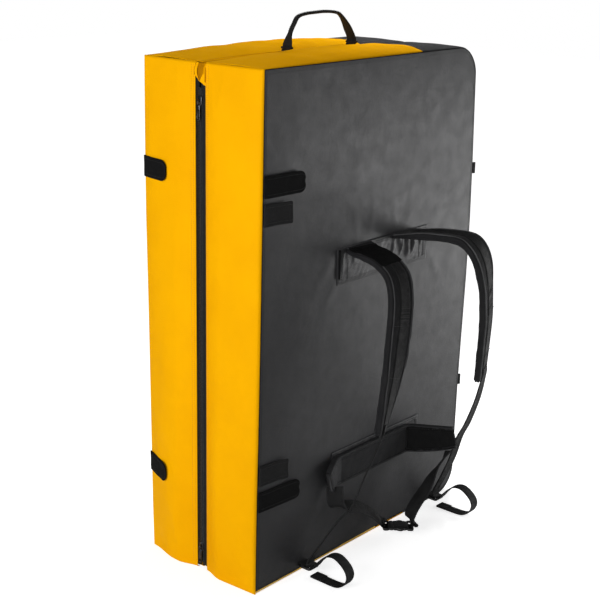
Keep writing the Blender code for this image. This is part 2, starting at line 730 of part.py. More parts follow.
def add_tabs():
    for word, hook, loop, fold in (
        ("upper", TAB_UPPER_SHARE, LOOP_UPPER_SHARE, FOLD_TAB_UPPER_SHARE),
        ("lower", TAB_LOWER_SHARE, LOOP_LOWER_SHARE, FOLD_TAB_LOWER_SHARE),
    ):
        add_panel_tab(f"panel_hook_tab_{word}", hook * HEIGHT, PANEL_TAB_LENGTH, TAB_CORNER, True)
        add_panel_tab(f"panel_loop_patch_{word}", loop * HEIGHT, LOOP_PATCH_LENGTH, LOOP_PATCH_CORNER, False)
        add_side_tab(f"side_hook_tab_{word}", hook * HEIGHT)
        middle = fold * HEIGHT
        low = (FOLD_X + SEAT, FRONT, middle - FOLD_TAB_HEIGHT / 2)
        high = (FOLD_X + FOLD_TAB_REACH, FRONT + FABRIC, middle + FOLD_TAB_HEIGHT / 2)
        add_box(f"fold_side_tab_{word}", low, high, BLACK_WEB)


def zip_middle_x():
    return ZIP_X - ZIP_RAISE + FABRIC / 2


def slider_faces():
    """Distances from the tape plane to the inner and outer face of a slider plate."""
    inner = CHAIN_THICKNESS / 2 + SLIDER_CLEARANCE
    return inner, inner + SLIDER_PLATE


def add_slider(prefix, height):
    """Slider of two plates joined by a blade that runs between the chain halves."""
    inner, outer = slider_faces()
    cuts_x = [-outer - EAR_HEIGHT, -outer, -inner, inner, outer]
    half = SLIDER_WIDTH / 2
    ear_in, ear_out = EAR_GAP / 2, EAR_GAP / 2 + EAR_THICKNESS
    blade = SLIDER_BLADE / 2
    cuts_y = [-half, -ear_out, -ear_in, -blade, blade, ear_in, ear_out, half]
    cuts_z = [-SLIDER_LENGTH / 2, -EAR_LENGTH / 2, EAR_LENGTH / 2, SLIDER_LENGTH / 2]

    def filled(i, j, k):
        ear = i == 0 and j in (1, 5) and k == 1
        plate = i in (1, 3)
        return ear or plate or (i == 2 and j == 3)

    place = (zip_middle_x(), SPLIT, height)
    body = add_cells(prefix + "_zip_slider", cuts_x, cuts_y, cuts_z, filled, np.eye(3), place, ZIP_METAL, place)
    pin_x = place[0] - outer - EAR_HEIGHT / 2
    start = (pin_x, SPLIT - ear_in - EAR_THICKNESS / 2, height)
    pin = add_tube(prefix + "_pin_tool", start, Y_AXIS, EAR_GAP + EAR_THICKNESS, PIN_RADIUS, PIN_SIDES)
    add_boolean(body, pin, "UNION")
    add_pull(prefix, pin_x, height)


def add_tube(name, start, way, length, radius, sides, spec=ZIP_METAL):
    """Round bar from a point along a unit direction."""
    way = np.asarray(way, float) / np.linalg.norm(way)
    first = np.cross(way, X_AXIS)
    if abs(way[0]) > abs(way[1]):
        first = np.cross(way, Y_AXIS)
    first /= np.linalg.norm(first)
    second = np.cross(way, first)
    turn = np.linspace(0, 2 * math.pi, sides, endpoint=False)[:, None]
    ring = np.asarray(start) + radius * (np.cos(turn) * first + np.sin(turn) * second)
    return add_prism(name, ring, length * way, spec)


def add_pull(prefix, pin_x, height):
    """Pull tab: an eye round the slider's pin, a flat tongue and a finger hole."""
    clear = EAR_GAP / 2 - PULL_CLEARANCE
    radius = EAR_HEIGHT / 2 - PULL_CLEARANCE
    body = add_tube(prefix + "_zip_pull", (pin_x, SPLIT - clear, height), Y_AXIS, 2 * clear, radius, PIN_SIDES)
    half = PULL_THICKNESS / 2
    side = clear - PULL_CLEARANCE
    neck_end = height - EAR_LENGTH
    neck_low = (pin_x - half, SPLIT - side, neck_end - PULL_THICKNESS)
    neck_high = (pin_x + half, SPLIT + side, height - PULL_THICKNESS / 2)
    neck_box = add_box(prefix + "_neck_tool", neck_low, neck_high, ZIP_METAL)
    side = PULL_WIDTH / 2
    half = half - PULL_CLEARANCE / 2
    low, high = (pin_x - half, SPLIT - side, height - PULL_LENGTH), (pin_x + half, SPLIT + side, neck_end)
    tongue = add_box(prefix + "_tongue_tool", low, high, ZIP_METAL)
    start = (pin_x, SPLIT - 2 * clear, height)
    bore = add_tube(prefix + "_bore_tool", start, Y_AXIS, 4 * clear, PIN_RADIUS + PULL_CLEARANCE, PIN_SIDES)
    start = (pin_x - PULL_THICKNESS, SPLIT, height - PULL_LENGTH + PULL_WIDTH / 2)
    hole = add_tube(prefix + "_hole_tool", start, X_AXIS, 2 * PULL_THICKNESS, PULL_HOLE_RADIUS, PIN_SIDES)
    add_boolean(body, neck_box, "UNION")
    add_boolean(body, tongue, "UNION")
    add_boolean(body, bore, "DIFFERENCE")
    add_boolean(body, hole, "DIFFERENCE")
    move_origin(body, (pin_x, SPLIT, height))


def top_surface(y, x):
    """Height of the carry half's top strip at y, beside the crease."""
    y_out, y_in = strip_edges(CARRY)
    share = np.clip((y - y_out) / (y_in - y_out), 0, 1)
    rows = spaced(STRIP_ROWS)
    return HEIGHT + rim_bulge(x - ZIP_X) * np.interp(share, rows, pillow(rows, TOP_POWER))


def handle_axis():
    """Middle line of the handle's swing, low enough for its round feet to reach the strip."""
    y = SPLIT - HANDLE_SET_IN - WEBBING_WIDTH / 2
    turn = np.linspace(0, math.pi, FOOT_SIDES + 1)
    spread, drop = FOOT_RADIUS * np.cos(turn), FOOT_RADIUS * np.sin(turn)
    z = float(np.max(top_surface(y + spread, HANDLE_SHIFT) + drop)) + SEAT
    return y, z


def add_handle():
    """Carry handle: flat webbing legs with round feet and a narrow folded grip."""
    y, z = handle_axis()
    places = []
    for span, rise in HANDLE_SHARES:
        x = HANDLE_SHIFT - HANDLE_SPAN / 2 + span * HANDLE_SPAN
        places.append((x, y, z + rise * HANDLE_RISE))
    path = smooth_route(places, RIBBON_STEPS)
    shares = np.linspace(0, 1, len(path))
    from_end = np.minimum(shares, 1 - shares)
    grip = np.interp(from_end, (GRIP_START_SHARE, GRIP_FULL_SHARE), (0, 1))
    widths = WEBBING_WIDTH + (HANDLE_GRIP_WIDTH - WEBBING_WIDTH) * grip
    thick = WEBBING_THICKNESS + (HANDLE_GRIP_THICKNESS - WEBBING_THICKNESS) * grip
    across = np.repeat(Y_AXIS[None, :], len(path), axis=0)
    pivot = (HANDLE_SHIFT, y, z)
    handle = add_ribbon("carry_handle", path, across, widths, thick, FLAT_SECTION, BLACK_WEB, pivot)
    for word, x in (("left", path[0][0]), ("right", path[-1][0])):
        start = (x - FOOT_THICKNESS / 2, y, z)
        foot = add_tube(f"{word}_foot_tool", start, X_AXIS, FOOT_THICKNESS, FOOT_RADIUS, FOOT_SIDES, BLACK_WEB)
        add_boolean(handle, foot, "UNION")


FLAT_SECTION = [(-1, -1), (1, -1), (1, 1), (-1, 1)]
PAD_SECTION = [
    (-1.0, -0.35), (-0.95, -0.75), (-0.80, -0.97), (0.0, -1.0), (0.80, -0.97), (0.95, -0.75), (1.0, -0.35),
    (1.0, 0.35), (0.95, 0.75), (0.80, 0.97), (0.0, 1.0), (-0.80, 0.97), (-0.95, 0.75), (-1.0, 0.35),
]


def add_patches():
    """Stitched patches on the outer panel's flat middle, behind the straps and the belt."""
    for name, height, share in (
        ("strap_root_patch", PATCH_HEIGHT, PATCH_HEIGHT_SHARE),
        ("belt_root_patch", BELT_PATCH_HEIGHT, BELT_HEIGHT_SHARE),
    ):
        middle = share * HEIGHT
        low = (HARNESS_X - PATCH_WIDTH / 2, PATCH_FRONT, middle - height / 2)
        high = (HARNESS_X + PATCH_WIDTH / 2, PLATEAU - SEAT, middle + height / 2)
        add_box(name, low, high, DARK)


def lock_top():
    return ANCHOR_HEIGHT + LOCK_THICKNESS / 2


def strap_point(out, rise, reach, root_x, anchor_x):
    """Point of a strap's route from its shares of reach and of height."""
    low = lock_top() + WEBBING_LIFT
    z = low + rise * (ROOT_HEIGHT - low)
    x = anchor_x + rise * (root_x - anchor_x)
    return x, PLATEAU - out * reach, z


def turned_across(path, table):
    """Width directions: +X turned in plan by the angles of a table."""
    angles = np.radians(read_shares(table, np.linspace(0, 1, len(path))))
    return np.stack([np.cos(angles), np.sin(angles), np.zeros_like(angles)], axis=1)


def strap_swivel(out):
    """First point of a strap's route that stands far enough out for the swing axis."""
    return int(np.argmax(out > SWIVEL_OUT))


def add_shoulder_strap(word, root_offset, anchor_offset, reach, tables):
    """Fixed root, hanging padded strap and lower webbing of one shoulder strap."""
    strap, turn, webbing, webbing_turn = tables
    root_x, anchor_x = HARNESS_X + root_offset, HARNESS_X + anchor_offset
    route = [strap_point(out, rise, reach, root_x, anchor_x) for out, rise in strap]
    route[0] = (root_x, PATCH_FRONT - SEAT, ROOT_HEIGHT)
    route[1] = (root_x, route[1][1], route[1][2])
    path = smooth_route(route, RIBBON_STEPS)
    out = PLATEAU - path[:, 1]
    at = strap_swivel(out)
    swivel = path[at]
    foot = np.array(strap_point(*webbing[-1], reach, root_x, anchor_x))
    way = (swivel - foot) / np.linalg.norm(swivel - foot)
    across = turned_across(path, turn)
    taper = np.clip(out / (SWIVEL_OUT - STRAP_THICKNESS), 0, 1) ** ROOT_TAPER_POWER
    widths = STRAP_ROOT_WIDTH + (STRAP_WIDTH - STRAP_ROOT_WIDTH) * taper
    lower_part = np.clip(2 * np.linspace(0, 1, len(path)) - 1, 0, 1)
    widths = widths + (STRAP_END_WIDTH - STRAP_WIDTH) * lower_part
    thick = np.full(len(path), STRAP_THICKNESS)
    start = swivel - STRAP_WIDTH * way
    fixed = slice(0, at + 1)
    root = add_ribbon(f"{word}_strap_root", path[fixed], across[fixed], widths[fixed], thick[fixed],
                      PAD_SECTION, BLACK_PAD, ends=(-Y_AXIS, None))
    keep_out = add_tube(f"{word}_root_tool", start, way, 2 * STRAP_WIDTH, SWIVEL_RADIUS + SWIVEL_CLEARANCE, 48)
    add_boolean(root, keep_out, "DIFFERENCE")
    first = int(np.argmax(out > SWIVEL_OUT - SWIVEL_RADIUS - STRAP_THICKNESS))
    moving = slice(first, len(path))
    pad = add_ribbon(f"{word}_shoulder_pad", path[moving], across[moving], widths[moving], thick[moving],
                     PAD_SECTION, BLACK_PAD, foot)
    add_boolean(pad, add_swivel_tool(word, start, way), "DIFFERENCE")
    lower = [strap_point(share, rise, reach, root_x, anchor_x) for share, rise in webbing]
    end_way = path_tangents(path)[-1]
    lower[0] = path[-1] + SEAT * end_way
    lower_path = smooth_route(lower, RIBBON_STEPS)
    count = len(lower_path)
    add_ribbon(f"{word}_lower_webbing", lower_path, turned_across(lower_path, webbing_turn),
               np.full(count, WEBBING_WIDTH), np.full(count, WEBBING_THICKNESS), FLAT_SECTION, BLACK_WEB, foot,
               (end_way, -Z_AXIS))
    return anchor_x


def add_swivel_tool(word, start, way):
    """Half ring round the swing axis, on the panel's side, that rounds the pad's end."""
    first = np.cross(way, X_AXIS)
    first /= np.linalg.norm(first)
    if first[1] < 0:
        first = -first
    second = np.cross(way, first)
    half_turn = math.radians(SWIVEL_TOOL_TURN)
    turn = np.linspace(-half_turn, half_turn, SWIVEL_SIDES)[:, None]
    inner = SWIVEL_RADIUS * (np.cos(turn) * first + np.sin(turn) * second)
    outer = SWIVEL_TOOL_GROWTH * inner[::-1]
    ring = np.concatenate([inner, outer]) + start
    return add_prism(f"{word}_swivel_tool", ring, 2 * STRAP_WIDTH * way, BLACK_PAD)


def add_anchor(word, x):
    """Anchor tab on the panel's bottom edge and the ladder lock that it holds."""
    surface = FRONT - float(np.max(crown_at(np.array([x]), np.array([ANCHOR_HEIGHT + ANCHOR_THICKNESS]))))
    start = surface - SEAT
    half = WEBBING_WIDTH / 2
    low = (x - half, start - ANCHOR_LENGTH, ANCHOR_HEIGHT - ANCHOR_THICKNESS / 2)
    high = (x + half, start, ANCHOR_HEIGHT + ANCHOR_THICKNESS / 2)
    add_box(f"{word}_anchor_tab", low, high, BLACK_WEB)
    rear = start - ANCHOR_LENGTH - SEAT
    half = LOCK_WIDTH / 2
    cuts_x = [-half, -half + LOCK_RIM, half - LOCK_RIM, half]
    middle = LOCK_LENGTH / 2
    cuts_y = [-LOCK_LENGTH, LOCK_BAR - LOCK_LENGTH, -middle - LOCK_BAR / 2, LOCK_BAR / 2 - middle, -LOCK_BAR, 0]
    cuts_z = [-LOCK_THICKNESS / 2, LOCK_THICKNESS / 2]

    def filled(i, j, _):
        return i != 1 or j in (0, 2, 4)

    place = (x, rear, ANCHOR_HEIGHT)
    add_cells(f"{word}_ladder_lock", cuts_x, cuts_y, cuts_z, filled, np.eye(3), place, BLACK_PLASTIC)
    add_tail(word, x, rear)


def add_tail(word, x, rear):
    """Spare webbing in a loop that stands on the floor in front of its lock."""
    start = rear - TAIL_START_SHARE * LOCK_LENGTH
    places = []
    for out, rise in TAIL_SHARES:
        places.append((x, start - out * TAIL_LENGTH, rise * TAIL_RISE))
    base = lock_top() + SEAT + WEBBING_THICKNESS / 2
    places[0] = (x, places[0][1], base)
    floor = WEBBING_THICKNESS / 2 + SEAT
    path = smooth_route(places, RIBBON_STEPS)
    path[:, 2] = np.maximum(path[:, 2], floor)
    across = np.repeat(X_AXIS[None, :], len(path), axis=0)
    count = len(path)
    add_ribbon(f"{word}_tail_loop", path, across, np.full(count, WEBBING_WIDTH),
               np.full(count, WEBBING_THICKNESS), FLAT_SECTION, BLACK_WEB, (x, start, base), (-Y_AXIS, None))


def belt_plane():
    """Y of the middle of the belt's padding, resting on its patch."""
    return PATCH_FRONT - SEAT - BELT_THICKNESS / 2


def belt_pivot():
    middle = BELT_HEIGHT_SHARE * HEIGHT
    return (HARNESS_X, PATCH_FRONT, middle + BELT_HEIGHT / 2 + SEAT)


def add_belt():
    """Waist belt: fixed padded middle, two wings and their webbing."""
    middle_x = HARNESS_X + BELT_MIDDLE_SHIFT
    z = BELT_HEIGHT_SHARE * HEIGHT
    y = belt_plane()
    half = BELT_MIDDLE_WIDTH / 2
    path = np.stack([middle_x + half * np.linspace(-1, 1, 6), np.full(6, y), np.full(6, z)], axis=1)
    upright = np.repeat(Z_AXIS[None, :], 6, axis=0)
    size = np.ones(6)
    add_ribbon("belt_middle", path, upright, BELT_HEIGHT * size, BELT_THICKNESS * size, PAD_SECTION, BLACK_PAD)
    for word, way, span, depth, shares, tip_height in (
        ("left", -1, LEFT_WING_SPAN, LEFT_WING_DEPTH, LEFT_WING_SHARES, BELT_HEIGHT),
        ("right", 1, RIGHT_WING_SPAN, RIGHT_WING_DEPTH, RIGHT_WING_SHARES, RIGHT_WING_TIP_HEIGHT),
    ):
        start = middle_x + way * (half + BELT_SLOT)
        route = [(start + way * a * span, y - b * depth, z) for a, b in shares]
        wing = smooth_route(route, RIBBON_STEPS // 2)
        count = len(wing)
        past = np.linspace(0, 1, count) ** 2
        heights = BELT_HEIGHT + (tip_height - BELT_HEIGHT) * past
        wing[:, 2] += (BELT_HEIGHT - heights) * TIP_LIFT_SHARE
        add_ribbon(f"belt_{word}_wing", wing, np.repeat(Z_AXIS[None, :], count, axis=0), heights,
                   BELT_THICKNESS * np.ones(count), PAD_SECTION, BLACK_PAD, belt_pivot(), (way * X_AXIS, None))
        low = wing[:, 2] - heights / 2
        add_belt_webbing(word, np.column_stack([wing[:, :2], low]))


def buckle_axes():
    """Direction from the female to the male half, the width direction and up."""
    turn = math.radians(BUCKLE_TURN)
    along = np.array([-math.cos(turn), math.sin(turn), 0])
    return along, np.array([math.sin(turn), math.cos(turn), 0]), Z_AXIS


def buckle_mouth():
    """Middle of the face where the two halves meet."""
    centre = np.array([BUCKLE_X, FRONT - BUCKLE_OUT, BUCKLE_Z])
    return centre + buckle_axes()[0] * (FEMALE_LENGTH - MALE_BASE) / 2


def webbing_landing(word):
    """Where a belt webbing ends, just above the bar of its buckle half, and the way in."""
    along = buckle_axes()[0]
    sign = 1 if word == "left" else -1
    reach = MALE_BASE if word == "left" else FEMALE_LENGTH
    mouth = buckle_mouth()
    lift = BUCKLE_THICKNESS / 2 + 2 * SEAT + BELT_WEBBING_THICKNESS / 2
    end = mouth + sign * (reach - SLOT_BAR - WEBBING_SLOT / 2) * along + lift * Z_AXIS
    return end, -sign * along


def add_belt_webbing(word, edge):
    """Webbing from under a wing's lower edge down to its half of the buckle."""
    end, inward = webbing_landing(word)
    table, across = BELT_TABLES[word]
    back = round(WEBBING_SEAT_SHARE * (len(edge) - 1))
    way = path_tangents(edge)[back]
    slope = abs(way[2]) / np.hypot(way[0], way[1])
    start = edge[back] - (SEAT + slope * BELT_WEBBING_WIDTH / 2) * Z_AXIS
    span = end - start
    route = [start]
    for a, b, c in table:
        drape = np.array([a * span[0], -b * BELT_DRAPE, c * span[2]])
        route.append(start + drape)
    route.append(end - inward * BELT_LEAD + BELT_WEBBING_THICKNESS * Z_AXIS)
    route.append(end)
    path = smooth_route(route, RIBBON_STEPS + RIBBON_STEPS // 2)
    path[:, 2] = np.maximum(path[:, 2], end[2])
    directions = np.asarray([way, *across], float)
    knots = np.linspace(0, 1, len(directions))
    shares = np.linspace(0, 1, len(path))
    directions = np.stack([np.interp(shares, knots, directions[:, n]) for n in range(3)], axis=1)
    count = len(path)
    add_ribbon(f"belt_{word}_webbing", path, directions, np.full(count, BELT_WEBBING_WIDTH),
               np.full(count, BELT_WEBBING_THICKNESS), FLAT_SECTION, BLACK_WEB, belt_pivot(), (-Z_AXIS, inward))


def add_buckle():
    """Side-release buckle, closed: the male half's prongs lie inside the female half."""
    axes = buckle_axes()
    mouth = buckle_mouth()
    half = BUCKLE_WIDTH / 2
    tall = BUCKLE_THICKNESS / 2
    rim = half - BUCKLE_RIM
    closed = PRONG_LENGTH + BUCKLE_WALL
    bar_end = -FEMALE_LENGTH + SLOT_BAR
    cuts_a = [-FEMALE_LENGTH, bar_end, bar_end + WEBBING_SLOT, -closed, -SEAT]
    cuts_b = [-half, -rim, rim, half]
    cuts_c = [-tall, -tall + BUCKLE_WALL, tall - BUCKLE_WALL, tall]

    def female(i, j, k):
        if i == 1:
            return j != 1
        return i != 3 or k != 1

    add_cells("buckle_female", cuts_a, cuts_b, cuts_c, female, axes, mouth, BLACK_PLASTIC, tuple(mouth))
    prong_in = half - PRONG_INSET - PRONG_WIDTH
    prong_out = half - PRONG_INSET
    tongue = TONGUE_WIDTH / 2
    inner = tall - BUCKLE_WALL - PRONG_CLEARANCE
    cuts_a = [-PRONG_LENGTH, -PRONG_LENGTH / 2, 0, MALE_BASE - 2 * SLOT_BAR - WEBBING_SLOT,
              MALE_BASE - SLOT_BAR - WEBBING_SLOT, MALE_BASE - SLOT_BAR, MALE_BASE]
    cuts_b = [-half, -prong_out, -prong_in, -tongue, tongue, prong_in, prong_out, half]
    cuts_c = [-tall, -inner, inner, tall]

    def male(i, j, k):
        if i >= 2:
            slot = i == 4 and j not in (0, 6)
            return not slot
        head = i == 0 and j in (0, 1, 5, 6)
        return k == 1 and (head or j in (1, 3, 5))

    add_cells("buckle_male", cuts_a, cuts_b, cuts_c, male, axes, mouth, BLACK_PLASTIC, tuple(mouth))


def build():
    clear_scene()
    add_half("carry", CARRY)
    add_half("far", FAR)
    add_tabs()
    add_slider("bottom", SLIDER_HEIGHT_FROM_END)
    add_slider("top", HEIGHT - ZIP_END_MARGIN - SLIDER_HEIGHT_FROM_END)
    add_handle()
    add_patches()
    left = add_shoulder_strap("left", LEFT_ROOT_OFFSET, LEFT_ANCHOR_OFFSET, LEFT_REACH, LEFT_TABLES)
    right = add_shoulder_strap("right", RIGHT_ROOT_OFFSET, RIGHT_ANCHOR_OFFSET, RIGHT_REACH, RIGHT_TABLES)
    add_anchor("left", left)
    add_anchor("right", right)
    add_belt()
    add_buckle()


build()
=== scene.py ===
# %% [markdown]
# # A folded bouldering crash pad, dressed over its measured frame
#
# A crash pad is a thick mat that a climber carries to the rocks and opens under the climb.
# Two halves of foam in a sewn cover fold face to face and are held by a zip and by hook tabs.
# This one stands on its short side, with its shoulder straps and waist belt towards us.
#
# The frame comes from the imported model: every solid is already in its place, in metres. The
# cells below replace the plain solids by cloth, webbing, teeth and stitches.

import math

import bpy
import numpy as np
from mathutils import Matrix, Vector


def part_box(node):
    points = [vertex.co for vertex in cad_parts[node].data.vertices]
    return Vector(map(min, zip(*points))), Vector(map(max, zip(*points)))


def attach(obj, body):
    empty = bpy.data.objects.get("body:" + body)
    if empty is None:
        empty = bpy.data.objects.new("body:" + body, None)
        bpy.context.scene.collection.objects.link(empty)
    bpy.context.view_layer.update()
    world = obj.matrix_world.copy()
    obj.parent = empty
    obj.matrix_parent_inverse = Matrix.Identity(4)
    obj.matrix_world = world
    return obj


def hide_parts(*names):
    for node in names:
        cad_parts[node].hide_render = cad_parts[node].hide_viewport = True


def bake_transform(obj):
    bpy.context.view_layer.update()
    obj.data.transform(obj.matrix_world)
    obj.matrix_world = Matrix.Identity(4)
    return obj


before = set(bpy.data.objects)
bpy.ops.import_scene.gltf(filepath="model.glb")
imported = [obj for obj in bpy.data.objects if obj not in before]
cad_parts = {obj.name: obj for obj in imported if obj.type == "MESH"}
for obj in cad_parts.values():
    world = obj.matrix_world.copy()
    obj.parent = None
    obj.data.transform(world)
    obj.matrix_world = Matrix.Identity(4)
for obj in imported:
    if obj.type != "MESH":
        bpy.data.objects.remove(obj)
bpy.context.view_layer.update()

# %% [markdown]
# ## Camera
#
# The corners of the pad in the photograph fix the view: the camera stands in front and to
# the left, a little above the pad's middle, and is turned by one degree about its own axis.
# A camera's matrix holds four directions: right, up, back and its place. Working them out
# from three angles keeps the view exact, which dragging a camera by hand would not.

# %% Camera
CAMERA_AZIMUTH, CAMERA_ELEVATION, CAMERA_ROLL = np.radians([-49.4814, 16.6883, 1.0938])
CAMERA_PLACE = (-1.96369, -1.5615, 1.2536)
CAMERA_LENS = 77.17  # millimetres, on a 36 mm sensor

back = np.array([
    math.cos(CAMERA_ELEVATION) * math.sin(CAMERA_AZIMUTH),
    -math.cos(CAMERA_ELEVATION) * math.cos(CAMERA_AZIMUTH),
    math.sin(CAMERA_ELEVATION),
])
level = np.array([math.cos(CAMERA_AZIMUTH), math.sin(CAMERA_AZIMUTH), 0])
upright = np.cross(back, level)
right = math.cos(CAMERA_ROLL) * level + math.sin(CAMERA_ROLL) * upright
up = math.cos(CAMERA_ROLL) * upright - math.sin(CAMERA_ROLL) * level

camera_data = bpy.data.cameras.new("photo_camera")
camera_data.lens = CAMERA_LENS
camera_data.sensor_width = 36
camera = bpy.data.objects.new("photo_camera", camera_data)
bpy.context.scene.collection.objects.link(camera)
turned = np.eye(4)
turned[:3, 0], turned[:3, 1], turned[:3, 2], turned[:3, 3] = right, up, back, CAMERA_PLACE
camera.matrix_world = Matrix(turned.tolist())
bpy.context.scene.camera = camera
print("camera at", CAMERA_PLACE)

# %% [markdown]
# ## Measures of the pad
#
# The same few lengths drive the frame. They are written once here, in metres, so that each
# cloth piece below can be worked out from the pad's own seams.

# %% Measures
HEIGHT = 1.000
WIDTH = 0.658
HALF_DEPTH = 0.145
CREASE_GAP = 0.004
CORNER_RADIUS = 0.060
WALL = 0.0018  # fabric and the clearance behind it
ZIP_X, FOLD_X = -WIDTH / 2, WIDTH / 2
FRONT = -HALF_DEPTH / 2
SPLIT = (HALF_DEPTH + CREASE_GAP) / 2  # the plane between the two halves
PANEL_CROWN = 0.006
PLATEAU = FRONT - PANEL_CROWN
COLOUR_JOINT_X = ZIP_X + 0.71 * WIDTH
HINGE_X = FOLD_X + 0.005
HEM = 0.0108  # hem of the zip side from the middle of the zip
CARRY, FAR = -1, 1
HALVES = {"carry": (CARRY, "carry_half"), "far": (FAR, "far_half")}


def seam_plane(side):
    """Y of a half's outer seam."""
    return SPLIT + side * (CREASE_GAP / 2 + HALF_DEPTH)


def face_plane(side):
    """Y of a half's landing face."""
    return SPLIT + side * CREASE_GAP / 2


print("outer seams at y", seam_plane(CARRY), "and", seam_plane(FAR))

# %% [markdown]
# ## Two helpers for every surface
#
# A piece of cloth is a grid of points: rows and columns, with one face between four
# neighbours. Numpy fills the whole grid at once, and Blender takes it with `from_pydata`.
# Each grid also carries a flat map, its coordinates in metres along the cloth, so that a
# weave has the same size on every piece. Faces must point outwards, so the helper compares
# them with a given direction and turns them if needed.


# %% Grid helper
def grid_faces(rows, columns, round_rows=False):
    """Faces between neighbouring rows and columns; round_rows joins the last column to the first."""
    index = np.arange(rows * columns).reshape(rows, columns)
    if round_rows:
        index = np.concatenate([index, index[:, :1]], axis=1)
    corners = (index[:-1, :-1], index[1:, :-1], index[1:, 1:], index[:-1, 1:])
    return np.stack([corner.ravel() for corner in corners], axis=1)


def face_ways(points, faces):
    """Area-weighted direction of each face, from the cross product of its diagonals."""
    corner = points[faces]
    return np.cross(corner[:, 2] - corner[:, 0], corner[:, 3] - corner[:, 1])


def turned_outward(points, faces, outward):
    """The same faces, all turned over if on the whole they look against the given directions."""
    return faces[:, ::-1] if np.sum(face_ways(points, faces) * outward) < 0 else faces


def laid(*parts):
    """Points from their X, Y and Z, or a flat map from two measures, spread to one shape."""
    return np.stack(np.broadcast_arrays(*parts), axis=-1)


def walked_along(path):
    """Distance walked along a path to each of its points."""
    return np.concatenate([[0], np.cumsum(np.linalg.norm(np.diff(path, axis=0), axis=1))])


def make_piece(name, points, faces, flat, finish, smooth=True):
    """Mesh object of these faces, with the flat map in metres and one material."""
    mesh = bpy.data.meshes.new(name)
    mesh.from_pydata(points.tolist(), [], [list(face) for face in faces])
    if flat is not None:
        loops = np.zeros(len(mesh.loops), dtype=np.int32)
        mesh.loops.foreach_get("vertex_index", loops)
        layer = mesh.uv_layers.new(name="cloth")
        layer.data.foreach_set("uv", np.ascontiguousarray(flat[loops], dtype=np.float32).ravel())
    mesh.materials.append(finish)
    mesh.polygons.foreach_set("use_smooth", np.full(len(mesh.polygons), smooth))
    mesh.update()
    piece = bpy.data.objects.new(name, mesh)
    bpy.context.scene.collection.objects.link(piece)
    return piece


def cloth_grid(name, points, finish, outward, wall=0.0011, flat=None):
    """Open sheet from a grid of points, given a wall on its inner side.

    Without a flat map of its own it takes the distances walked along its rows and columns.
    """
    rows, columns = points.shape[:2]
    faces = grid_faces(rows, columns)
    if flat is None:
        down = np.cumsum(np.linalg.norm(np.diff(points, axis=0, prepend=points[:1]), axis=2), axis=0)
        along = np.cumsum(np.linalg.norm(np.diff(points, axis=1, prepend=points[:, :1]), axis=2), axis=1)
        flat = laid(along, np.repeat(down[:, columns // 2][:, None], columns, axis=1))
    lined = points.reshape(-1, 3)
    faces = turned_outward(lined, faces, np.asarray(outward, float))
    piece = make_piece(name, lined, faces, flat.reshape(-1, 2), finish)
    if wall:
        thick = piece.modifiers.new("wall", "SOLIDIFY")
        thick.thickness = wall
        thick.offset = -1
    return piece


def pillow(share, power):
    """1 in the middle and 0 at both ends, flatter for a higher power."""
    return 1 - np.abs(2 * np.asarray(share, float) - 1) ** power


def smooth_step(value, start, end):
    """0 before start, 1 after end and a soft ramp between: 3t^2 - 2t^3."""
    t = np.clip((np.asarray(value, float) - start) / (end - start), 0, 1)
    return t * t * (3 - 2 * t)


print("grid of 3 x 4 has", len(grid_faces(3, 4)), "faces")

# %% [markdown]
# ## Seams that roll in
#
# Where two panels are sewn together, each turns down into the seam over a few millimetres,
# so a cover never has a knife edge. The depth below the panel's face, at a distance d from
# the seam, is that of a quarter circle. Rows of the grid crowd together there to draw it.


# %% Seam helpers
ROLL_STEPS = 6


def roll_depth(distance, roll):
    """Depth of a quarter circle of radius roll, at a distance from the seam."""
    inside = np.clip(roll - np.asarray(distance, float), 0, roll)
    return roll - np.sqrt(roll**2 - inside**2)


def seam_spaced(length, step, roll):
    """Distances from 0 to length: crowded over the roll at both ends, even between."""
    turn = np.linspace(0, math.pi / 2, ROLL_STEPS + 1)
    edge = roll * (1 - np.cos(turn))
    count = max(2, round((length - 2 * roll) / step))
    middle = np.linspace(roll, length - roll, count + 1)
    return np.concatenate([edge[:-1], middle, (length - edge[::-1])[1:]])


def folds(across, along, spots):
    """Sum of soft ridges in a cloth.

    Each spot is a line from (a, b) to (c, d) with a half-width and a height: the ridge is a
    bell curve across the line, and fades towards the line's two ends.
    """
    total = np.zeros(np.broadcast(across, along).shape)
    for a, b, c, d, half, height in spots:
        run = np.array([c - a, d - b])
        length = np.hypot(*run)
        run = run / length
        go = (across - a) * run[0] + (along - b) * run[1]
        off = -(across - a) * run[1] + (along - b) * run[0]
        fade = smooth_step(go / length, -0.1, 0.25) * smooth_step(go / length, 1.1, 0.6)
        total = total + height * np.exp(-((off / half) ** 2)) * fade
    return total


def waviness(a, b, seed, pitch, octaves):
    """Seeded sum of sine waves in random directions, from about -1 to 1."""
    rng = np.random.default_rng(seed)
    total = np.zeros(np.broadcast(a, b).shape)
    weight = 0
    for octave in range(octaves):
        for _ in range(4):
            angle, phase = rng.uniform(0, 2 * math.pi, 2)
            wave = 2 * math.pi / (pitch * rng.uniform(0.7, 1.4)) * 2**octave
            strength = 0.55**octave
            total = total + strength * np.sin(wave * (np.cos(angle) * a + np.sin(angle) * b) + phase)
            weight += strength
    return total / weight * 2


print("roll drawn by", ROLL_STEPS, "steps")

# %% [markdown]
# ## Finishes
#
# A finish is a small graph of nodes. Every fabric here is made the same way: a colour that
# drifts a little over some centimetres, a roughness that drifts too, and a bump built from
# two scales, the crinkle of the coated cloth and the weave itself. The weave reads the flat
# map in metres, so its threads follow each piece and keep one size.


# %% Node helpers
def wire(tree, node, inputs):
    """Sets plain values of a node's inputs and links the sockets given for others."""
    for key, value in inputs.items():
        if isinstance(value, bpy.types.NodeSocket):
            tree.links.new(value, node.inputs[key])
        else:
            node.inputs[key].default_value = value


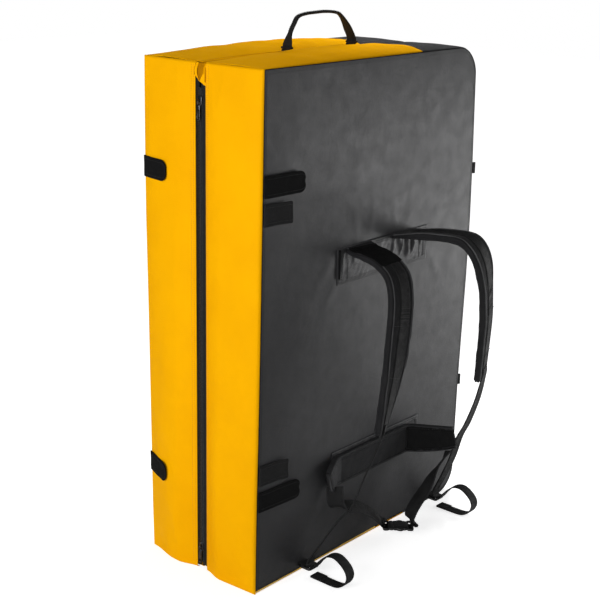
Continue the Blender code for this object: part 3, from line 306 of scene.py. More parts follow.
def join_node(tree, kind, inputs, **settings):
    """Adds a node with its settings and inputs."""
    node = tree.nodes.new(kind)
    for key, value in settings.items():
        setattr(node, key, value)
    wire(tree, node, inputs)
    return node


def work_out(tree, operation, first, second=0.0):
    """One sum of two numbers or sockets."""
    return join_node(tree, "ShaderNodeMath", {0: first, 1: second}, operation=operation).outputs[0]


def start_finish(name, roughness, specular, metallic=0.0):
    finish = bpy.data.materials.new(name)
    finish.use_nodes = True
    tree = finish.node_tree
    shader = tree.nodes["Principled BSDF"]
    wire(tree, shader, {"Roughness": roughness, "Metallic": metallic, "Specular IOR Level": specular})
    return finish, tree, shader


def place_source(tree, on_cloth):
    """The flat map of a cloth piece, or the place in the object for a solid one."""
    if on_cloth:
        return join_node(tree, "ShaderNodeUVMap", {}, uv_map="cloth").outputs[0]
    return join_node(tree, "ShaderNodeTexCoord", {}).outputs["Object"]


def drift(tree, where, scale, detail=3.0):
    """Soft random value from 0 to 1 that changes about scale times in a metre."""
    return join_node(tree, "ShaderNodeTexNoise", {"Vector": where, "Scale": scale, "Detail": detail}).outputs[0]


def spread(tree, value, low, high):
    """Maps 0.3..0.7 of a noise to low..high."""
    return join_node(tree, "ShaderNodeMapRange", {0: value, 1: 0.3, 2: 0.7, 3: low, 4: high}).outputs[0]


def blend_colour(tree, share, first, second):
    """Mix of two colours; each is three numbers or a socket."""
    first, second = (c if isinstance(c, bpy.types.NodeSocket) else (*c, 1) for c in (first, second))
    return join_node(tree, "ShaderNodeMix", {0: share, 6: first, 7: second}, data_type="RGBA").outputs[2]


def raise_bump(tree, height, distance, below=None):
    """Bump of this height in metres, laid over the bump below it."""
    inputs = {"Height": height, "Distance": distance, "Strength": 1.0}
    if below is not None:
        inputs["Normal"] = below
    return join_node(tree, "ShaderNodeBump", inputs).outputs[0]


def threads(tree, where, pitch):
    """Height of a plain weave: the product of a sine along and a sine across the cloth."""
    split = join_node(tree, "ShaderNodeSeparateXYZ", {0: where})
    turns = [work_out(tree, "MULTIPLY", split.outputs[axis], 2 * math.pi / pitch) for axis in (0, 1)]
    return work_out(tree, "MULTIPLY", work_out(tree, "SINE", turns[0]), work_out(tree, "SINE", turns[1]))


print("node helpers ready")

# %% [markdown]
# ### Cover cloth
#
# The cover is a coated nylon: a tight weave with a plastic skin on it. It is smooth and a
# little glossy, and the skin shows faint crinkles. The yellow sides and the grey-black
# panel are the same cloth in two colours, so one function makes both.


# %% Cover cloth
def cover_cloth(name, light, dark, roughness, specular, crinkle=0.00045):
    finish, tree, shader = start_finish(name, roughness, specular)
    where = place_source(tree, True)
    patch = spread(tree, drift(tree, where, 7.0), 0.0, 1.0)
    base = blend_colour(tree, patch, light, dark)
    grime = spread(tree, drift(tree, where, 55.0, 5.0), 0.0, 0.22)
    uneven = spread(tree, drift(tree, where, 30.0), roughness - 0.05, roughness + 0.07)
    soft = raise_bump(tree, drift(tree, where, 38.0, 4.0), crinkle * 2.2)
    fine = raise_bump(tree, drift(tree, where, 210.0, 2.0), crinkle * 0.6, soft)
    weave = raise_bump(tree, threads(tree, where, 0.0011), 0.00005, fine)
    wire(tree, shader, {"Base Color": blend_colour(tree, grime, base, dark), "Roughness": uneven, "Normal": weave})
    return finish


yellow_cloth = cover_cloth("yellow_coated_cloth", (0.96, 0.458, 0.0), (0.90, 0.410, 0.0), 0.62, 0.025)
# Paler copy of the yellow: painted light, for the floor's bounce light on the strip along the bottom edge.
bounce_painted_yellow_cloth = cover_cloth("edge_yellow_bounce_painted", (1.0, 0.70, 0.22), (0.95, 0.56, 0.08), 0.60, 0.05)
# Darker copy of the yellow: painted shade, for the recess behind the V over the zip.
shade_painted_yellow_cloth = cover_cloth("shade_painted_lining_yellow", (0.46, 0.185, 0.0), (0.38, 0.150, 0.0), 0.70, 0.03)
dark_cloth = cover_cloth("dark_coated_cloth", (0.034, 0.034, 0.036), (0.029, 0.029, 0.031), 0.46, 0.40, 0.0003)
landing_cloth = cover_cloth("landing_cloth", (0.050, 0.051, 0.054), (0.038, 0.039, 0.042), 0.60, 0.25)
print("cover cloths made")

# %% [markdown]
# ### Webbing, padding, thread and hook tape
#
# Webbing is woven thick and narrow, with slanted ribs that change direction in the middle.
# The pads wear a matte mesh cloth. Hook tape is a felt of tiny hooks, which reads as a
# rough, very matte black.


# %% Webbing, padding, thread and hook tape
def webbing_cloth(name, light, dark, rib=0.0016):
    """Slanted ribs: a sine of the length plus the distance from the middle line."""
    finish, tree, shader = start_finish(name, 0.62, 0.22)
    where = place_source(tree, True)
    split = join_node(tree, "ShaderNodeSeparateXYZ", {0: where})
    across = work_out(tree, "ABSOLUTE", split.outputs[0])
    slanted = work_out(tree, "ADD", split.outputs[1], work_out(tree, "MULTIPLY", across, 0.9))
    rib_wave = work_out(tree, "SINE", work_out(tree, "MULTIPLY", slanted, 2 * math.pi / rib))
    cord = work_out(tree, "SINE", work_out(tree, "MULTIPLY", across, 2 * math.pi / 0.0022))
    height = work_out(tree, "ADD", rib_wave, work_out(tree, "MULTIPLY", cord, 0.7))
    share = join_node(tree, "ShaderNodeMapRange", {0: height, 1: -1.7, 2: 1.7, 3: 1.0, 4: 0.0}).outputs[0]
    worn = spread(tree, drift(tree, where, 60.0, 4.0), 0.0, 0.5)
    base = blend_colour(tree, share, light, dark)
    uneven = spread(tree, drift(tree, where, 90.0), 0.55, 0.72)
    wire(tree, shader, {"Base Color": blend_colour(tree, worn, base, dark), "Roughness": uneven,
                        "Normal": raise_bump(tree, height, 0.00013)})
    return finish


def pad_cloth(name, light, dark, pitch=0.0016, sheen=0.25):
    finish, tree, shader = start_finish(name, 0.85, 0.15)
    where = place_source(tree, True)
    height = threads(tree, where, pitch)
    share = join_node(tree, "ShaderNodeMapRange", {0: height, 1: -1.0, 2: 1.0, 3: 1.0, 4: 0.0}).outputs[0]
    worn = spread(tree, drift(tree, where, 25.0, 4.0), 0.0, 0.6)
    base = blend_colour(tree, share, light, dark)
    soft = raise_bump(tree, drift(tree, where, 70.0, 3.0), 0.0011)
    uneven = spread(tree, drift(tree, where, 60.0), 0.78, 0.92)
    wire(tree, shader, {"Base Color": blend_colour(tree, worn, base, dark), "Roughness": uneven,
                        "Normal": raise_bump(tree, height, 0.00011, soft),
                        "Sheen Weight": sheen, "Sheen Roughness": 0.4})
    return finish


def plain_finish(name, light, dark, roughness, grain, bump, metallic=0.0, specular=0.5):
    """Moulded, drawn or foamed stuff: grain from noise over the object's own place."""
    finish, tree, shader = start_finish(name, roughness, specular, metallic)
    where = place_source(tree, False)
    share = spread(tree, drift(tree, where, grain, 5.0), 0.0, 1.0)
    uneven = spread(tree, drift(tree, where, grain * 0.4), roughness * 0.85, min(1.0, roughness * 1.15))
    wire(tree, shader, {"Base Color": blend_colour(tree, share, light, dark), "Roughness": uneven,
                        "Normal": raise_bump(tree, drift(tree, where, grain * 1.7, 3.0), bump)})
    return finish


black_webbing = webbing_cloth("black_webbing", (0.020, 0.020, 0.021), (0.005, 0.005, 0.005))
binding_cloth = webbing_cloth("edge_binding", (0.022, 0.022, 0.024), (0.008, 0.008, 0.009), 0.0012)
# Near-black cloth used as painted shade: the cord in the panel seams, the slit in the strap patch and the sleeve on
# the left strap's root.
shade_painted_black_cloth = pad_cloth("shade_painted_black_cloth", (0.0045, 0.0045, 0.005), (0.002, 0.002, 0.002), 0.0010, 0.0)
# Near-black spacer mesh of the right wing, painted darker still for the shade on its turned face.
right_wing_shade_painted = pad_cloth("wing_mesh_shade_painted", (0.0075, 0.0075, 0.008), (0.003, 0.003, 0.003), 0.0022, 0.02)
belt_cloth = pad_cloth("belt_cloth", (0.042, 0.042, 0.044), (0.016, 0.016, 0.017), sheen=0.05)
pad_mesh_cloth = pad_cloth("pad_mesh_cloth", (0.022, 0.022, 0.023), (0.008, 0.008, 0.009), sheen=0.06)
hook_tape = plain_finish("hook_tape", (0.010, 0.010, 0.0105), (0.002, 0.002, 0.002), 0.95, 1600.0, 0.0010,
                         specular=0.12)
loop_tape = plain_finish("loop_tape", (0.022, 0.022, 0.023), (0.010, 0.010, 0.010), 0.97, 900.0, 0.0012,
                         specular=0.2)
black_thread = plain_finish("black_thread", (0.020, 0.020, 0.021), (0.008, 0.008, 0.009), 0.60, 900.0, 0.0002)
yellow_thread = plain_finish("yellow_thread", (0.80, 0.36, 0.006), (0.62, 0.27, 0.005), 0.60, 900.0, 0.0002)
buckle_plastic = plain_finish("moulded_plastic", (0.016, 0.016, 0.017), (0.010, 0.010, 0.011), 0.38, 420.0, 0.00012)
zip_tooth_plastic = plain_finish("zip_tooth_plastic", (0.022, 0.022, 0.024), (0.012, 0.012, 0.013), 0.34, 800.0,
                                 0.00005)
zip_metal = plain_finish("zip_black_metal", (0.10, 0.10, 0.11), (0.05, 0.05, 0.055), 0.26, 700.0, 0.00005, 1.0)
open_foam = plain_finish("open_cell_foam", (0.78, 0.75, 0.62), (0.66, 0.62, 0.50), 0.95, 700.0, 0.0008,
                         specular=0.1)
firm_foam = plain_finish("closed_cell_foam", (0.11, 0.11, 0.115), (0.07, 0.07, 0.075), 0.90, 900.0, 0.0005,
                         specular=0.1)
print("webbing, padding, thread, plastic, metal and foam made")

# %% [markdown]
# ## How the foam shapes the whole pad
#
# A box of foam never stays a box. Seen against the photograph, the fold side bows out at
# mid-height, the zip side flares near the floor where the weight rests, and the far half is
# a little thicker above. Where the near half bows out the far half gives way, so that the
# two fold sides still pass each other when the pad lies open. One smooth function moves
# every cover point by those few millimetres, so panels, seams and tabs stay together.


# %% Swell of the foam
def foam_swell(points):
    """Moves each point by smooth amounts in X and Y, read from short tables over the height."""
    x, y, z = points[..., 0], points[..., 1], points[..., 2]
    away = np.abs(y - SPLIT)
    bow = np.interp(z, [0, 0.15, 0.26, 0.38, 0.50, 0.63, 0.76, 0.86, 0.95, 1.0],
                    [0, 0, 0.0020, 0.0065, 0.0115, 0.0138, 0.0112, 0.0075, 0.0045, 0.0020])
    bow = bow * np.clip(x / FOLD_X, 0, 1.05) ** 5 * smooth_step(away, 0.045, 0.13) * np.where(y > SPLIT, -0.75, 1.0)
    flare = np.interp(z, [0, 0.10, 0.20, 0.32, 0.50, 0.65, 0.8, 1.0],
                      [0.0125, 0.0120, 0.0105, 0.0080, 0.0050, 0.0035, 0.0020, 0.0005])
    beyond = np.where(y > SPLIT, 1 - smooth_step(away, 0.07, 0.145), 1.0)
    flare = flare * np.clip(-x / FOLD_X, 0, 1.05) ** 7 * smooth_step(away, HEM, 0.060) * beyond
    swollen = np.interp(z, [0, 0.10, 0.30, 0.50, 0.70, 0.82, 1.0],
                        [0, 0.0015, 0.0030, 0.0048, 0.0078, 0.0075, 0.0062])
    swollen = swollen * smooth_step(y - SPLIT, 0.0, 0.14)
    return laid(x + bow - flare, y + swollen, z)


print("largest flare at the floor:", float(foam_swell(np.array([ZIP_X, FRONT, 0.0]))[0] - ZIP_X))

# %% [markdown]
# ## Outer panels
#
# The big panel of each half is one flat cut of cloth over foam, pulled tight by its seams.
# It could be a subdivided plane pushed about by hand, but the frame's crown is known: the
# product of two flat-topped curves. The yellow strips wrap round the pad's edges, so the
# panel's seam lies on the front face, a few millimetres inside the edge, in a small groove.


# %% Outer panels
EDGE_ROUND = 0.0045  # radius of the pad's edges, where a strip wraps round
GROOVE = 0.0012


def outline_limits(x, inset=0.0):
    """Lowest and highest point of the side outline at x: straight, then a quarter circle."""
    radius = CORNER_RADIUS - inset
    past = np.clip(x - (FOLD_X - CORNER_RADIUS), 0, radius)
    rise = inset + radius - np.sqrt(np.maximum(radius**2 - past**2, 0))
    return rise, HEIGHT - rise


def seam_distance(x, z):
    """Distance from a point of the panel to the pad's edge, rounded corners included."""
    sides = np.minimum(np.minimum(x - ZIP_X, FOLD_X - x), np.minimum(z, HEIGHT - z))
    past_x = np.maximum(x - (FOLD_X - CORNER_RADIUS), 0)
    past_z = np.maximum(np.abs(z - HEIGHT / 2) - (HEIGHT / 2 - CORNER_RADIUS), 0)
    corner = CORNER_RADIUS - np.hypot(past_x, past_z)
    return np.where((past_x > 0) & (past_z > 0), corner, sides)


def panel_crown(x, z):
    """Flat-topped crown of the panel over its seams, as in the frame."""
    low, high = outline_limits(x)
    share = np.clip((z - low) / np.maximum(high - low, 1e-6), 0, 1)
    return PANEL_CROWN * pillow((x - ZIP_X) / WIDTH, 6) * pillow(share, 6)


def seam_raised(z):
    """Heights moved up by 3 mm near the top and 2 mm near the bottom, where the strips' seams lie higher."""
    return z + 0.002 * np.exp(-((z / 0.03) ** 2)) + 0.003 * np.exp(-(((HEIGHT - z) / 0.03) ** 2))


def panel_grid(step, inset, roll):
    """Rows up the panel and columns along it, crowded at the seams."""
    x = ZIP_X + inset + seam_spaced(WIDTH - 2 * inset, step, roll)
    share = seam_spaced(HEIGHT, step, roll) / HEIGHT
    low, high = outline_limits(x, inset)
    z = low[None, :] + (high - low)[None, :] * share[:, None]
    return np.repeat(x[None, :], len(share), axis=0), z


def seam_pucker(x, z, seed):
    """Short waves that run in from the seams and die out within four centimetres."""
    distance = np.maximum(seam_distance(x, z), 0)
    return waviness(x, z, seed, 0.030, 1) * np.exp(-distance / 0.016) * smooth_step(distance, 0.004, 0.012)


PANEL_FOLDS = {
    "carry": [
        (-0.127, 0.640, -0.195, 0.570, 0.012, 0.0016), (-0.122, 0.585, -0.165, 0.530, 0.010, 0.0012),
        (0.172, 0.650, 0.240, 0.690, 0.014, 0.0012), (0.172, 0.590, 0.220, 0.530, 0.011, 0.0012),
        (-0.060, 0.655, -0.075, 0.730, 0.010, 0.0012), (-0.020, 0.655, -0.015, 0.740, 0.008, 0.0010),
        (0.105, 0.660, 0.110, 0.750, 0.010, 0.0012), (0.060, 0.655, 0.050, 0.725, 0.008, 0.0010),
        (-0.130, 0.160, -0.190, 0.100, 0.012, 0.0012), (0.170, 0.165, 0.215, 0.110, 0.011, 0.0010),
        (-0.190, 0.050, -0.230, 0.020, 0.009, 0.0012), (0.235, 0.050, 0.262, 0.030, 0.009, 0.0012),
    ],
    "far": [(-0.2, 0.3, 0.1, 0.5, 0.03, 0.0012), (0.0, 0.75, 0.22, 0.62, 0.028, 0.0012)],
}


def panel_out(x, z, prefix):
    """Height of the panel's cloth over its seam plane: crown, wrinkles, and the groove at the seam."""
    side = HALVES[prefix][0]
    edge = seam_distance(x, z) - EDGE_ROUND
    wrinkles = folds(x, z, PANEL_FOLDS[prefix]) + 0.0006 * waviness(x, z, 11 + side, 0.20, 2)
    wrinkles = wrinkles + 0.0006 * seam_pucker(x, z, 31 + side)
    return panel_crown(x, z) + wrinkles * smooth_step(edge, 0.002, 0.03) - roll_depth(edge, GROOVE)


def outer_panel(prefix):
    side, body = HALVES[prefix]
    x, z = panel_grid(0.0065, EDGE_ROUND, GROOVE)
    points = foam_swell(laid(x, seam_plane(side) + side * panel_out(x, z, prefix), seam_raised(z)))
    piece = cloth_grid(f"{prefix}_outer_cloth", points, dark_cloth, (0, side, 0), flat=laid(x, z))
    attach(piece, body)
    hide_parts(f"{prefix}_outer_panel")
    return piece


outer_cloths = [outer_panel(prefix) for prefix in HALVES]
print("outer panels:", [len(piece.data.vertices) for piece in outer_cloths], "points")

# %% [markdown]
# ## The yellow zip side
#
# A narrow strip closes each half towards the zip. It bulges between the outer seam and the
# hem, because the foam presses on it, and wraps round the pad's edges on its three other
# sides. Its hem runs along the zip.


# %% Zip sides
ZIP_TOP, ZIP_BOTTOM = 0.982, 0.010


def zip_side_out(share, z):
    """How far the strip stands out from the outer seam's plane, as in the frame."""
    ends = pillow(z / HEIGHT, 8)
    return 0.005 * share + 0.008 * pillow(share, 3) * ends


SIDE_FOLDS = {
    "carry": [
        (0.085, 0.990, 0.100, 0.900, 0.008, 0.0012), (0.120, 0.985, 0.112, 0.900, 0.006, 0.0010),
        (0.040, 0.050, 0.030, 0.140, 0.010, 0.0012), (0.015, 0.500, 0.120, 0.540, 0.014, 0.0006),
    ],
    "far": [
        (0.090, 0.990, 0.105, 0.900, 0.008, 0.0012), (0.060, 0.820, 0.020, 0.730, 0.010, 0.0010),
        (0.060, 0.160, 0.025, 0.260, 0.010, 0.0010), (0.100, 0.040, 0.080, 0.130, 0.010, 0.0012),
    ],
}


def zip_side_points(prefix, across, z):
    """Points of the strip from the distance across it and the height."""
    side = HALVES[prefix][0]
    length = HALF_DEPTH - HEM
    share = across / length
    edge = np.minimum(across, np.minimum(z, HEIGHT - z))
    hem = length - across
    inner = np.minimum(edge, hem)
    wrinkles = folds(across, z, SIDE_FOLDS[prefix]) + 0.0007 * waviness(side * across, z, 21 + side, 0.12, 2)
    wrinkles = wrinkles + 0.0006 * waviness(side * across, z, 41 + side, 0.028, 1) * np.exp(-inner / 0.012)
    out = zip_side_out(share, z) + wrinkles * smooth_step(inner, 0.004, 0.025)
    out = out - roll_depth(edge, EDGE_ROUND) - roll_depth(hem, 0.0012)
    x = ZIP_X - out
    y = seam_plane(side) - side * across
    return foam_swell(laid(x, y, z + 0 * x))


def wrapped_spaced(length, step, far_roll):
    """Distances across a strip: a tuck below the seam, the rounded edge, even steps, then a far roll."""
    turn = np.linspace(0, math.pi / 2, 7)
    near = EDGE_ROUND * (1 - np.cos(turn))
    far = length - far_roll * (1 - np.cos(turn[:5] / turn[4] * math.pi / 2))[::-1]
    count = round((length - EDGE_ROUND - far_roll) / step)
    return np.concatenate([near[:-1], np.linspace(EDGE_ROUND, length - far_roll, count + 1), far[1:]])


def zip_side(prefix):
    side, body = HALVES[prefix]
    length = HALF_DEPTH - HEM
    across = wrapped_spaced(length, 0.005, 0.0012)[None, :]
    z = seam_spaced(HEIGHT, 0.006, EDGE_ROUND)[:, None]
    points = zip_side_points(prefix, across, z)
    piece = cloth_grid(f"{prefix}_zip_side_cloth", points, yellow_cloth, (-1, 0, 0), flat=laid(side * across, z))
    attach(piece, body)
    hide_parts(f"{prefix}_zip_side")
    return piece


side_cloths = [zip_side(prefix) for prefix in HALVES]
print("zip sides:", [len(piece.data.vertices) for piece in side_cloths], "points")

# %% [markdown]
# ### The V over the zip
#
# Above the end of the zip the corner of each half is folded back, so that the slider has
# room. From outside this is a small V: two turned flaps that meet over the end of the tape,
# and between them the yellow lining, painted darker than the yellow cloth for the shade in
# the recess.


# %% V flaps and lining
V_APEX, V_TOP = 0.9665, 0.9992


def notch_flap(prefix):
    """Turned corner from the hem to the V's edge; below its apex the edge runs back to the hem."""
    side, body = HALVES[prefix]
    height = np.linspace(0, 1, 30)[:, None]
    across = np.linspace(0, 1, 14)[None, :]
    at_hem = 0.9780 if side == FAR else 0.9590
    lowest = at_hem + (V_APEX - at_hem) * across
    z = lowest + (V_TOP - lowest) * height
    widest, rise = (0.0042, 0.012) if side == FAR else (HEM - 0.0004, 0.0145)
    edge = 0.0003 + widest * np.clip((V_TOP - V_APEX) * height / rise, 0, 1)
    y = (HEM + 0.0024) + (edge - HEM - 0.0024) * across
    fold = 0.0014 * np.exp(-(((across - 0.93) / 0.10) ** 2)) + 0.0008 * np.sin(math.pi * height)
    out = 0.0068 + fold - 0.0040 * smooth_step(z, 0.985, 1.0) - 0.0018 * (across < 0.08)
    points = laid(ZIP_X - out, SPLIT + side * y, z)
    piece = cloth_grid(f"{prefix}_notch_flap", points, yellow_cloth, (-1, 0, 0), wall=0.0012, flat=laid(y, z))
    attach(piece, body)
    return piece


def notch_lining(prefix):
    """Lining behind the V, from under the flap to the middle, sunk a little more with the depth; its yellow is
    painted darker for the shade in the recess.
    """
    side, body = HALVES[prefix]
    across = np.linspace(-0.0001, HEM + 0.003, 14)[None, :]
    height = np.linspace(0, 1, 20)[:, None]
    lowest = V_APEX - 0.0010 + (0.0115 if side == FAR else 0.0) * np.clip(across / HEM, 0, 1)
    z = lowest + (V_TOP - 0.0002 - lowest) * height
    sunk = 0.0008 * (1 - smooth_step(across, 0.002, HEM)) + 0.0036 * smooth_step(z, 0.984, 1.0)
    points = laid(ZIP_X - 0.0066 + sunk, SPLIT + side * across, z)
    piece = cloth_grid(f"{prefix}_notch_lining", points, shade_painted_yellow_cloth, (-1, 0, 0), wall=0.0008)
    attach(piece, body)
    return piece


for prefix in HALVES:
    notch_flap(prefix)
    notch_lining(prefix)
print("V over the zip up to", HEIGHT)

# %% [markdown]
# ## The strip round the rim
#
# One long strip runs from the zip over the top, down the fold side and back along the
# bottom. Its two ends are yellow and the rest is dark, sewn together at a joint. A rim
# distance measures along it, and a second number goes across, from the outer seam to the
# landing panel. The foam pushes the top up in a soft ridge, and the bottom lies flat
# because the pad stands on it.


# %% Rim strips
STRAIGHT = WIDTH - CORNER_RADIUS
ARC = math.pi / 2 * CORNER_RADIUS
RISE = HEIGHT - 2 * CORNER_RADIUS
RIM_END = 2 * STRAIGHT + 2 * ARC + RISE
JOINT = COLOUR_JOINT_X - ZIP_X
INNER_ROLL = 0.0035


def rim_place(along):
    """Place and outward direction on the rim: straight, quarter circle, straight, quarter circle, straight."""
    first = np.clip(along, 0, STRAIGHT)
    turn_a = np.clip(along - STRAIGHT, 0, ARC) / CORNER_RADIUS
    down = np.clip(along - STRAIGHT - ARC, 0, RISE)
    turn_b = np.clip(along - STRAIGHT - ARC - RISE, 0, ARC) / CORNER_RADIUS
    last = np.clip(along - STRAIGHT - 2 * ARC - RISE, 0, STRAIGHT)
    x = ZIP_X + first + CORNER_RADIUS * np.sin(turn_a) - CORNER_RADIUS * (1 - np.cos(turn_b)) - last
    z = HEIGHT - CORNER_RADIUS * (1 - np.cos(turn_a)) - down - CORNER_RADIUS * np.sin(turn_b)
    angle = math.pi / 2 - turn_a - turn_b
    return x, z, np.cos(angle), np.sin(angle)


def rim_bulge(along):
    """Height of the strip's ridge: it grows from the zip, is full on top, slight at the fold and none below."""
    fold = STRAIGHT + ARC
    places = [0, 0.012, 0.035, 0.070, 0.13, 0.22, 0.34, 0.44, 0.52, 0.58, fold, fold + RISE, fold + RISE + ARC]
    heights = [0.0004, 0.0022, 0.0055, 0.0085, 0.0112, 0.0135, 0.0140, 0.0098, 0.0045, 0.0020, 0.0012, 0.0030, 0]
    return np.interp(along, places, heights)


RIM_SPAN = HALF_DEPTH - 0.0008  # from the outer seam to the landing panel
RIM_SEED = 51


def rim_points(prefix, along, across, rough=1.0):
    """Points of the strip from the distances along the rim and across, with a share of its roughness."""
    side = HALVES[prefix][0]
    share = across / RIM_SPAN
    x, z, way_x, way_z = rim_place(along)
    lift = rim_bulge(along) * pillow(share, 3)
    inner = np.minimum(across, RIM_SPAN - across)
    waves = waviness(along, side * across, RIM_SEED, 0.13, 2) * 0.0009
    waves = waves + waviness(along, across, RIM_SEED + 9, 0.026, 1) * 0.0006 * np.exp(-inner / 0.012)
    top_only = smooth_step(along, RIM_END - 0.50, RIM_END - 0.75)
    lift = lift + rough * waves * smooth_step(inner, 0.004, 0.03) * top_only
    lift = lift - roll_depth(across, EDGE_ROUND) - roll_depth(RIM_SPAN - across, INNER_ROLL)
    y = seam_plane(side) - side * across
    points = foam_swell(laid(x + way_x * lift, y, z + way_z * lift))
    points[..., 2] = np.maximum(points[..., 2], 0)
    return points, (way_x, way_z)


def rim_strip(prefix, word, start, end, finish, nodes, rough):
    """Strip between two rim distances, its end joints sunk in a small groove."""
    side, body = HALVES[prefix]
    across = wrapped_spaced(RIM_SPAN, 0.006, INNER_ROLL)[None, :]
    along = (start + seam_spaced(end - start, 0.006, GROOVE))[:, None]
    points, (way_x, way_z) = rim_points(prefix, along, across, rough)
    sunk = roll_depth(np.minimum(along - start, end - along), GROOVE)
    points = points - sunk[:, :, None] * laid(way_x, 0 * way_x, way_z)
    points[..., 2] = np.maximum(points[..., 2], 0)
    middle = np.array([0, seam_plane(side) - side * HALF_DEPTH / 2, HEIGHT / 2])
    outward = points[:-1, :-1].reshape(-1, 3) - middle
    piece = cloth_grid(f"{prefix}_{word}_cloth", points, finish, outward, flat=laid(across, along))
    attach(piece, body)
    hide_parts(*[f"{prefix}_{node}" for node in nodes])
    return piece


RIM_CUTS = [
    ("top_yellow", EDGE_ROUND, JOINT, yellow_cloth, ["top_yellow"], 1.0),
    ("rim_dark", JOINT, RIM_END - JOINT, dark_cloth, ["top_dark", "fold_side", "bottom_dark"], 1.0),
    ("bottom_yellow", RIM_END - JOINT, RIM_END - EDGE_ROUND, yellow_cloth, ["bottom_yellow"], 0.0),
]
rim_cloths = [rim_strip(prefix, *cut) for prefix in HALVES for cut in RIM_CUTS]
print("rim strips:", [len(piece.data.vertices) for piece in rim_cloths], "points")

# %% [markdown]
# ## Landing panels and foam
#
# The landing faces meet inside the folded pad, and show when it opens. Behind each lies a
# firm closed-cell sheet, then soft open-cell foam. The foam is never seen in the closed
# pad, so it is a plain slab with the pad's outline and eased edges.


# %% Landing panels and foam
def landing_panel(prefix):
    side, body = HALVES[prefix]
    x, z = panel_grid(0.010, INNER_ROLL, GROOVE)
    sunk = roll_depth(seam_distance(x, z) - INNER_ROLL, GROOVE) + 0.0003 * (1 + waviness(x, z, 71 + side, 0.2, 2))
    points = laid(x, face_plane(side) + side * sunk, z)
    piece = cloth_grid(f"{prefix}_landing_cloth", points, landing_cloth, (0, -side, 0), flat=laid(x, z))
    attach(piece, body)
    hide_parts(f"{prefix}_landing_panel")


def foam_slab(prefix, word, near, far, inset, finish):
    """Slab between two planes of Y with the pad's outline, its edges eased by a bevel."""
    body = HALVES[prefix][1]
    turn = np.linspace(-math.pi / 2, math.pi / 2, 17)
    middle = np.where(turn < 0, CORNER_RADIUS, HEIGHT - CORNER_RADIUS)
    radius = CORNER_RADIUS - inset
    x = FOLD_X - CORNER_RADIUS + radius * np.cos(turn)
    z = middle + radius * np.sin(turn)
    x = np.concatenate([[ZIP_X + inset], x, [ZIP_X + inset]])
    z = np.concatenate([[inset], z, [HEIGHT - inset]])
    count = len(x)
    ring = laid(x, near, z)
    points = np.concatenate([ring, ring + (0, far - near, 0)])
    ahead = (np.arange(count) + 1) % count
    walls = np.stack([np.arange(count), ahead, ahead + count, np.arange(count) + count], axis=1)
    caps = [list(range(count))[::-1], list(range(count, 2 * count))]
    faces = walls.tolist() + caps
    if far > near:
        faces = [face[::-1] for face in faces]
    piece = make_piece(f"{prefix}_{word}_slab", points, faces, None, finish, smooth=False)
    ease = piece.modifiers.new("eased_edges", "BEVEL")
    ease.width, ease.segments = 0.003, 2
    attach(piece, body)
    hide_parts(f"{prefix}_{word}")


for prefix, (side, _) in HALVES.items():
    landing_panel(prefix)
    firm = face_plane(side) + side * WALL
    soft = firm + side * 0.030
    inset = 0.0140 if side == FAR else 0.0060
    foam_slab(prefix, "firm_foam", firm, soft - side * 0.0005, 0.0060, firm_foam)
    foam_slab(prefix, "soft_foam", soft, seam_plane(side) - side * 0.0065, inset, open_foam)
print("landing panels and foam in both halves")

# %% [markdown]
# ## Bands: one way to make webbing, pads and piping
#
# Every strap is a profile carried along a path. At each station of the path there are three
# directions: the way it runs, the way across it and the way its outer face looks. The
# profile's points are placed with the last two, for all stations at once. A smooth path
# comes from a few places by Catmull-Rom curves, which pass through every one of them.


# %% Band helpers
def read_at(walked, rows, where):
    """Rows of a table read at the wanted distances along it."""
    return np.stack([np.interp(where, walked, column) for column in rows.T], axis=1)


def smooth_route(places, count):
    """Evenly spaced points on a Catmull-Rom curve through the given places."""
    given = np.asarray(places, float)
    ends = np.concatenate([[2 * given[0] - given[1]], given, [2 * given[-1] - given[-2]]])
    a, b, c, d = (ends[k:len(ends) - 3 + k][:, None, :] for k in range(4))
    t = np.linspace(0, 1, 24, endpoint=False)[None, :, None]
    curve = b + ((c - a) * t + (2 * a - 5 * b + 4 * c - d) * t**2 + (3 * b - a - 3 * c + d) * t**3) / 2
    fine = np.concatenate([curve.reshape(-1, 3), given[-1:]])
    walked = walked_along(fine)
    return read_at(walked, fine, np.linspace(0, walked[-1], count))


def unit(rows):
    return rows / np.linalg.norm(rows, axis=-1, keepdims=True)


def band_frame(path, across, ends=(None, None)):
    """Way along, way across and outward face at each station of a path."""
    along = unit(np.gradient(path, axis=0))
    for row, way in zip((0, -1), ends):
        if way is not None:
            along[row] = way
    across = np.broadcast_to(np.asarray(across, float), path.shape)
    across = unit(across - along * np.sum(across * along, axis=1, keepdims=True))
    return along, across, np.cross(along, across)


def squared_off(wave, power):
    """A sine or cosine raised to a power with its sign kept: a power below 1 squares the circle."""
    return np.sign(wave) * np.abs(wave) ** power


def rounded_profile(width_power, thick_power, count):
    """Closed profile of a superellipse: the powers say how square each direction is."""
    turn = np.linspace(0, 2 * math.pi, count, endpoint=False)
    return laid(squared_off(np.cos(turn), 2 / width_power), squared_off(np.sin(turn), 2 / thick_power))


def flat_profile():
    """Webbing's profile: two flat faces joined by two half circles; edge is the circles' share of the width."""
    edge = 0.18
    turn = np.linspace(-math.pi / 2, math.pi / 2, 6)
    right = laid(1 - edge + edge * np.cos(turn), np.sin(turn))
    top = laid(np.linspace(1 - edge, -1 + edge, 6)[1:-1], np.ones(4))
    left = right * (-1, -1)
    return np.concatenate([right, top, left, top * (-1, -1)])


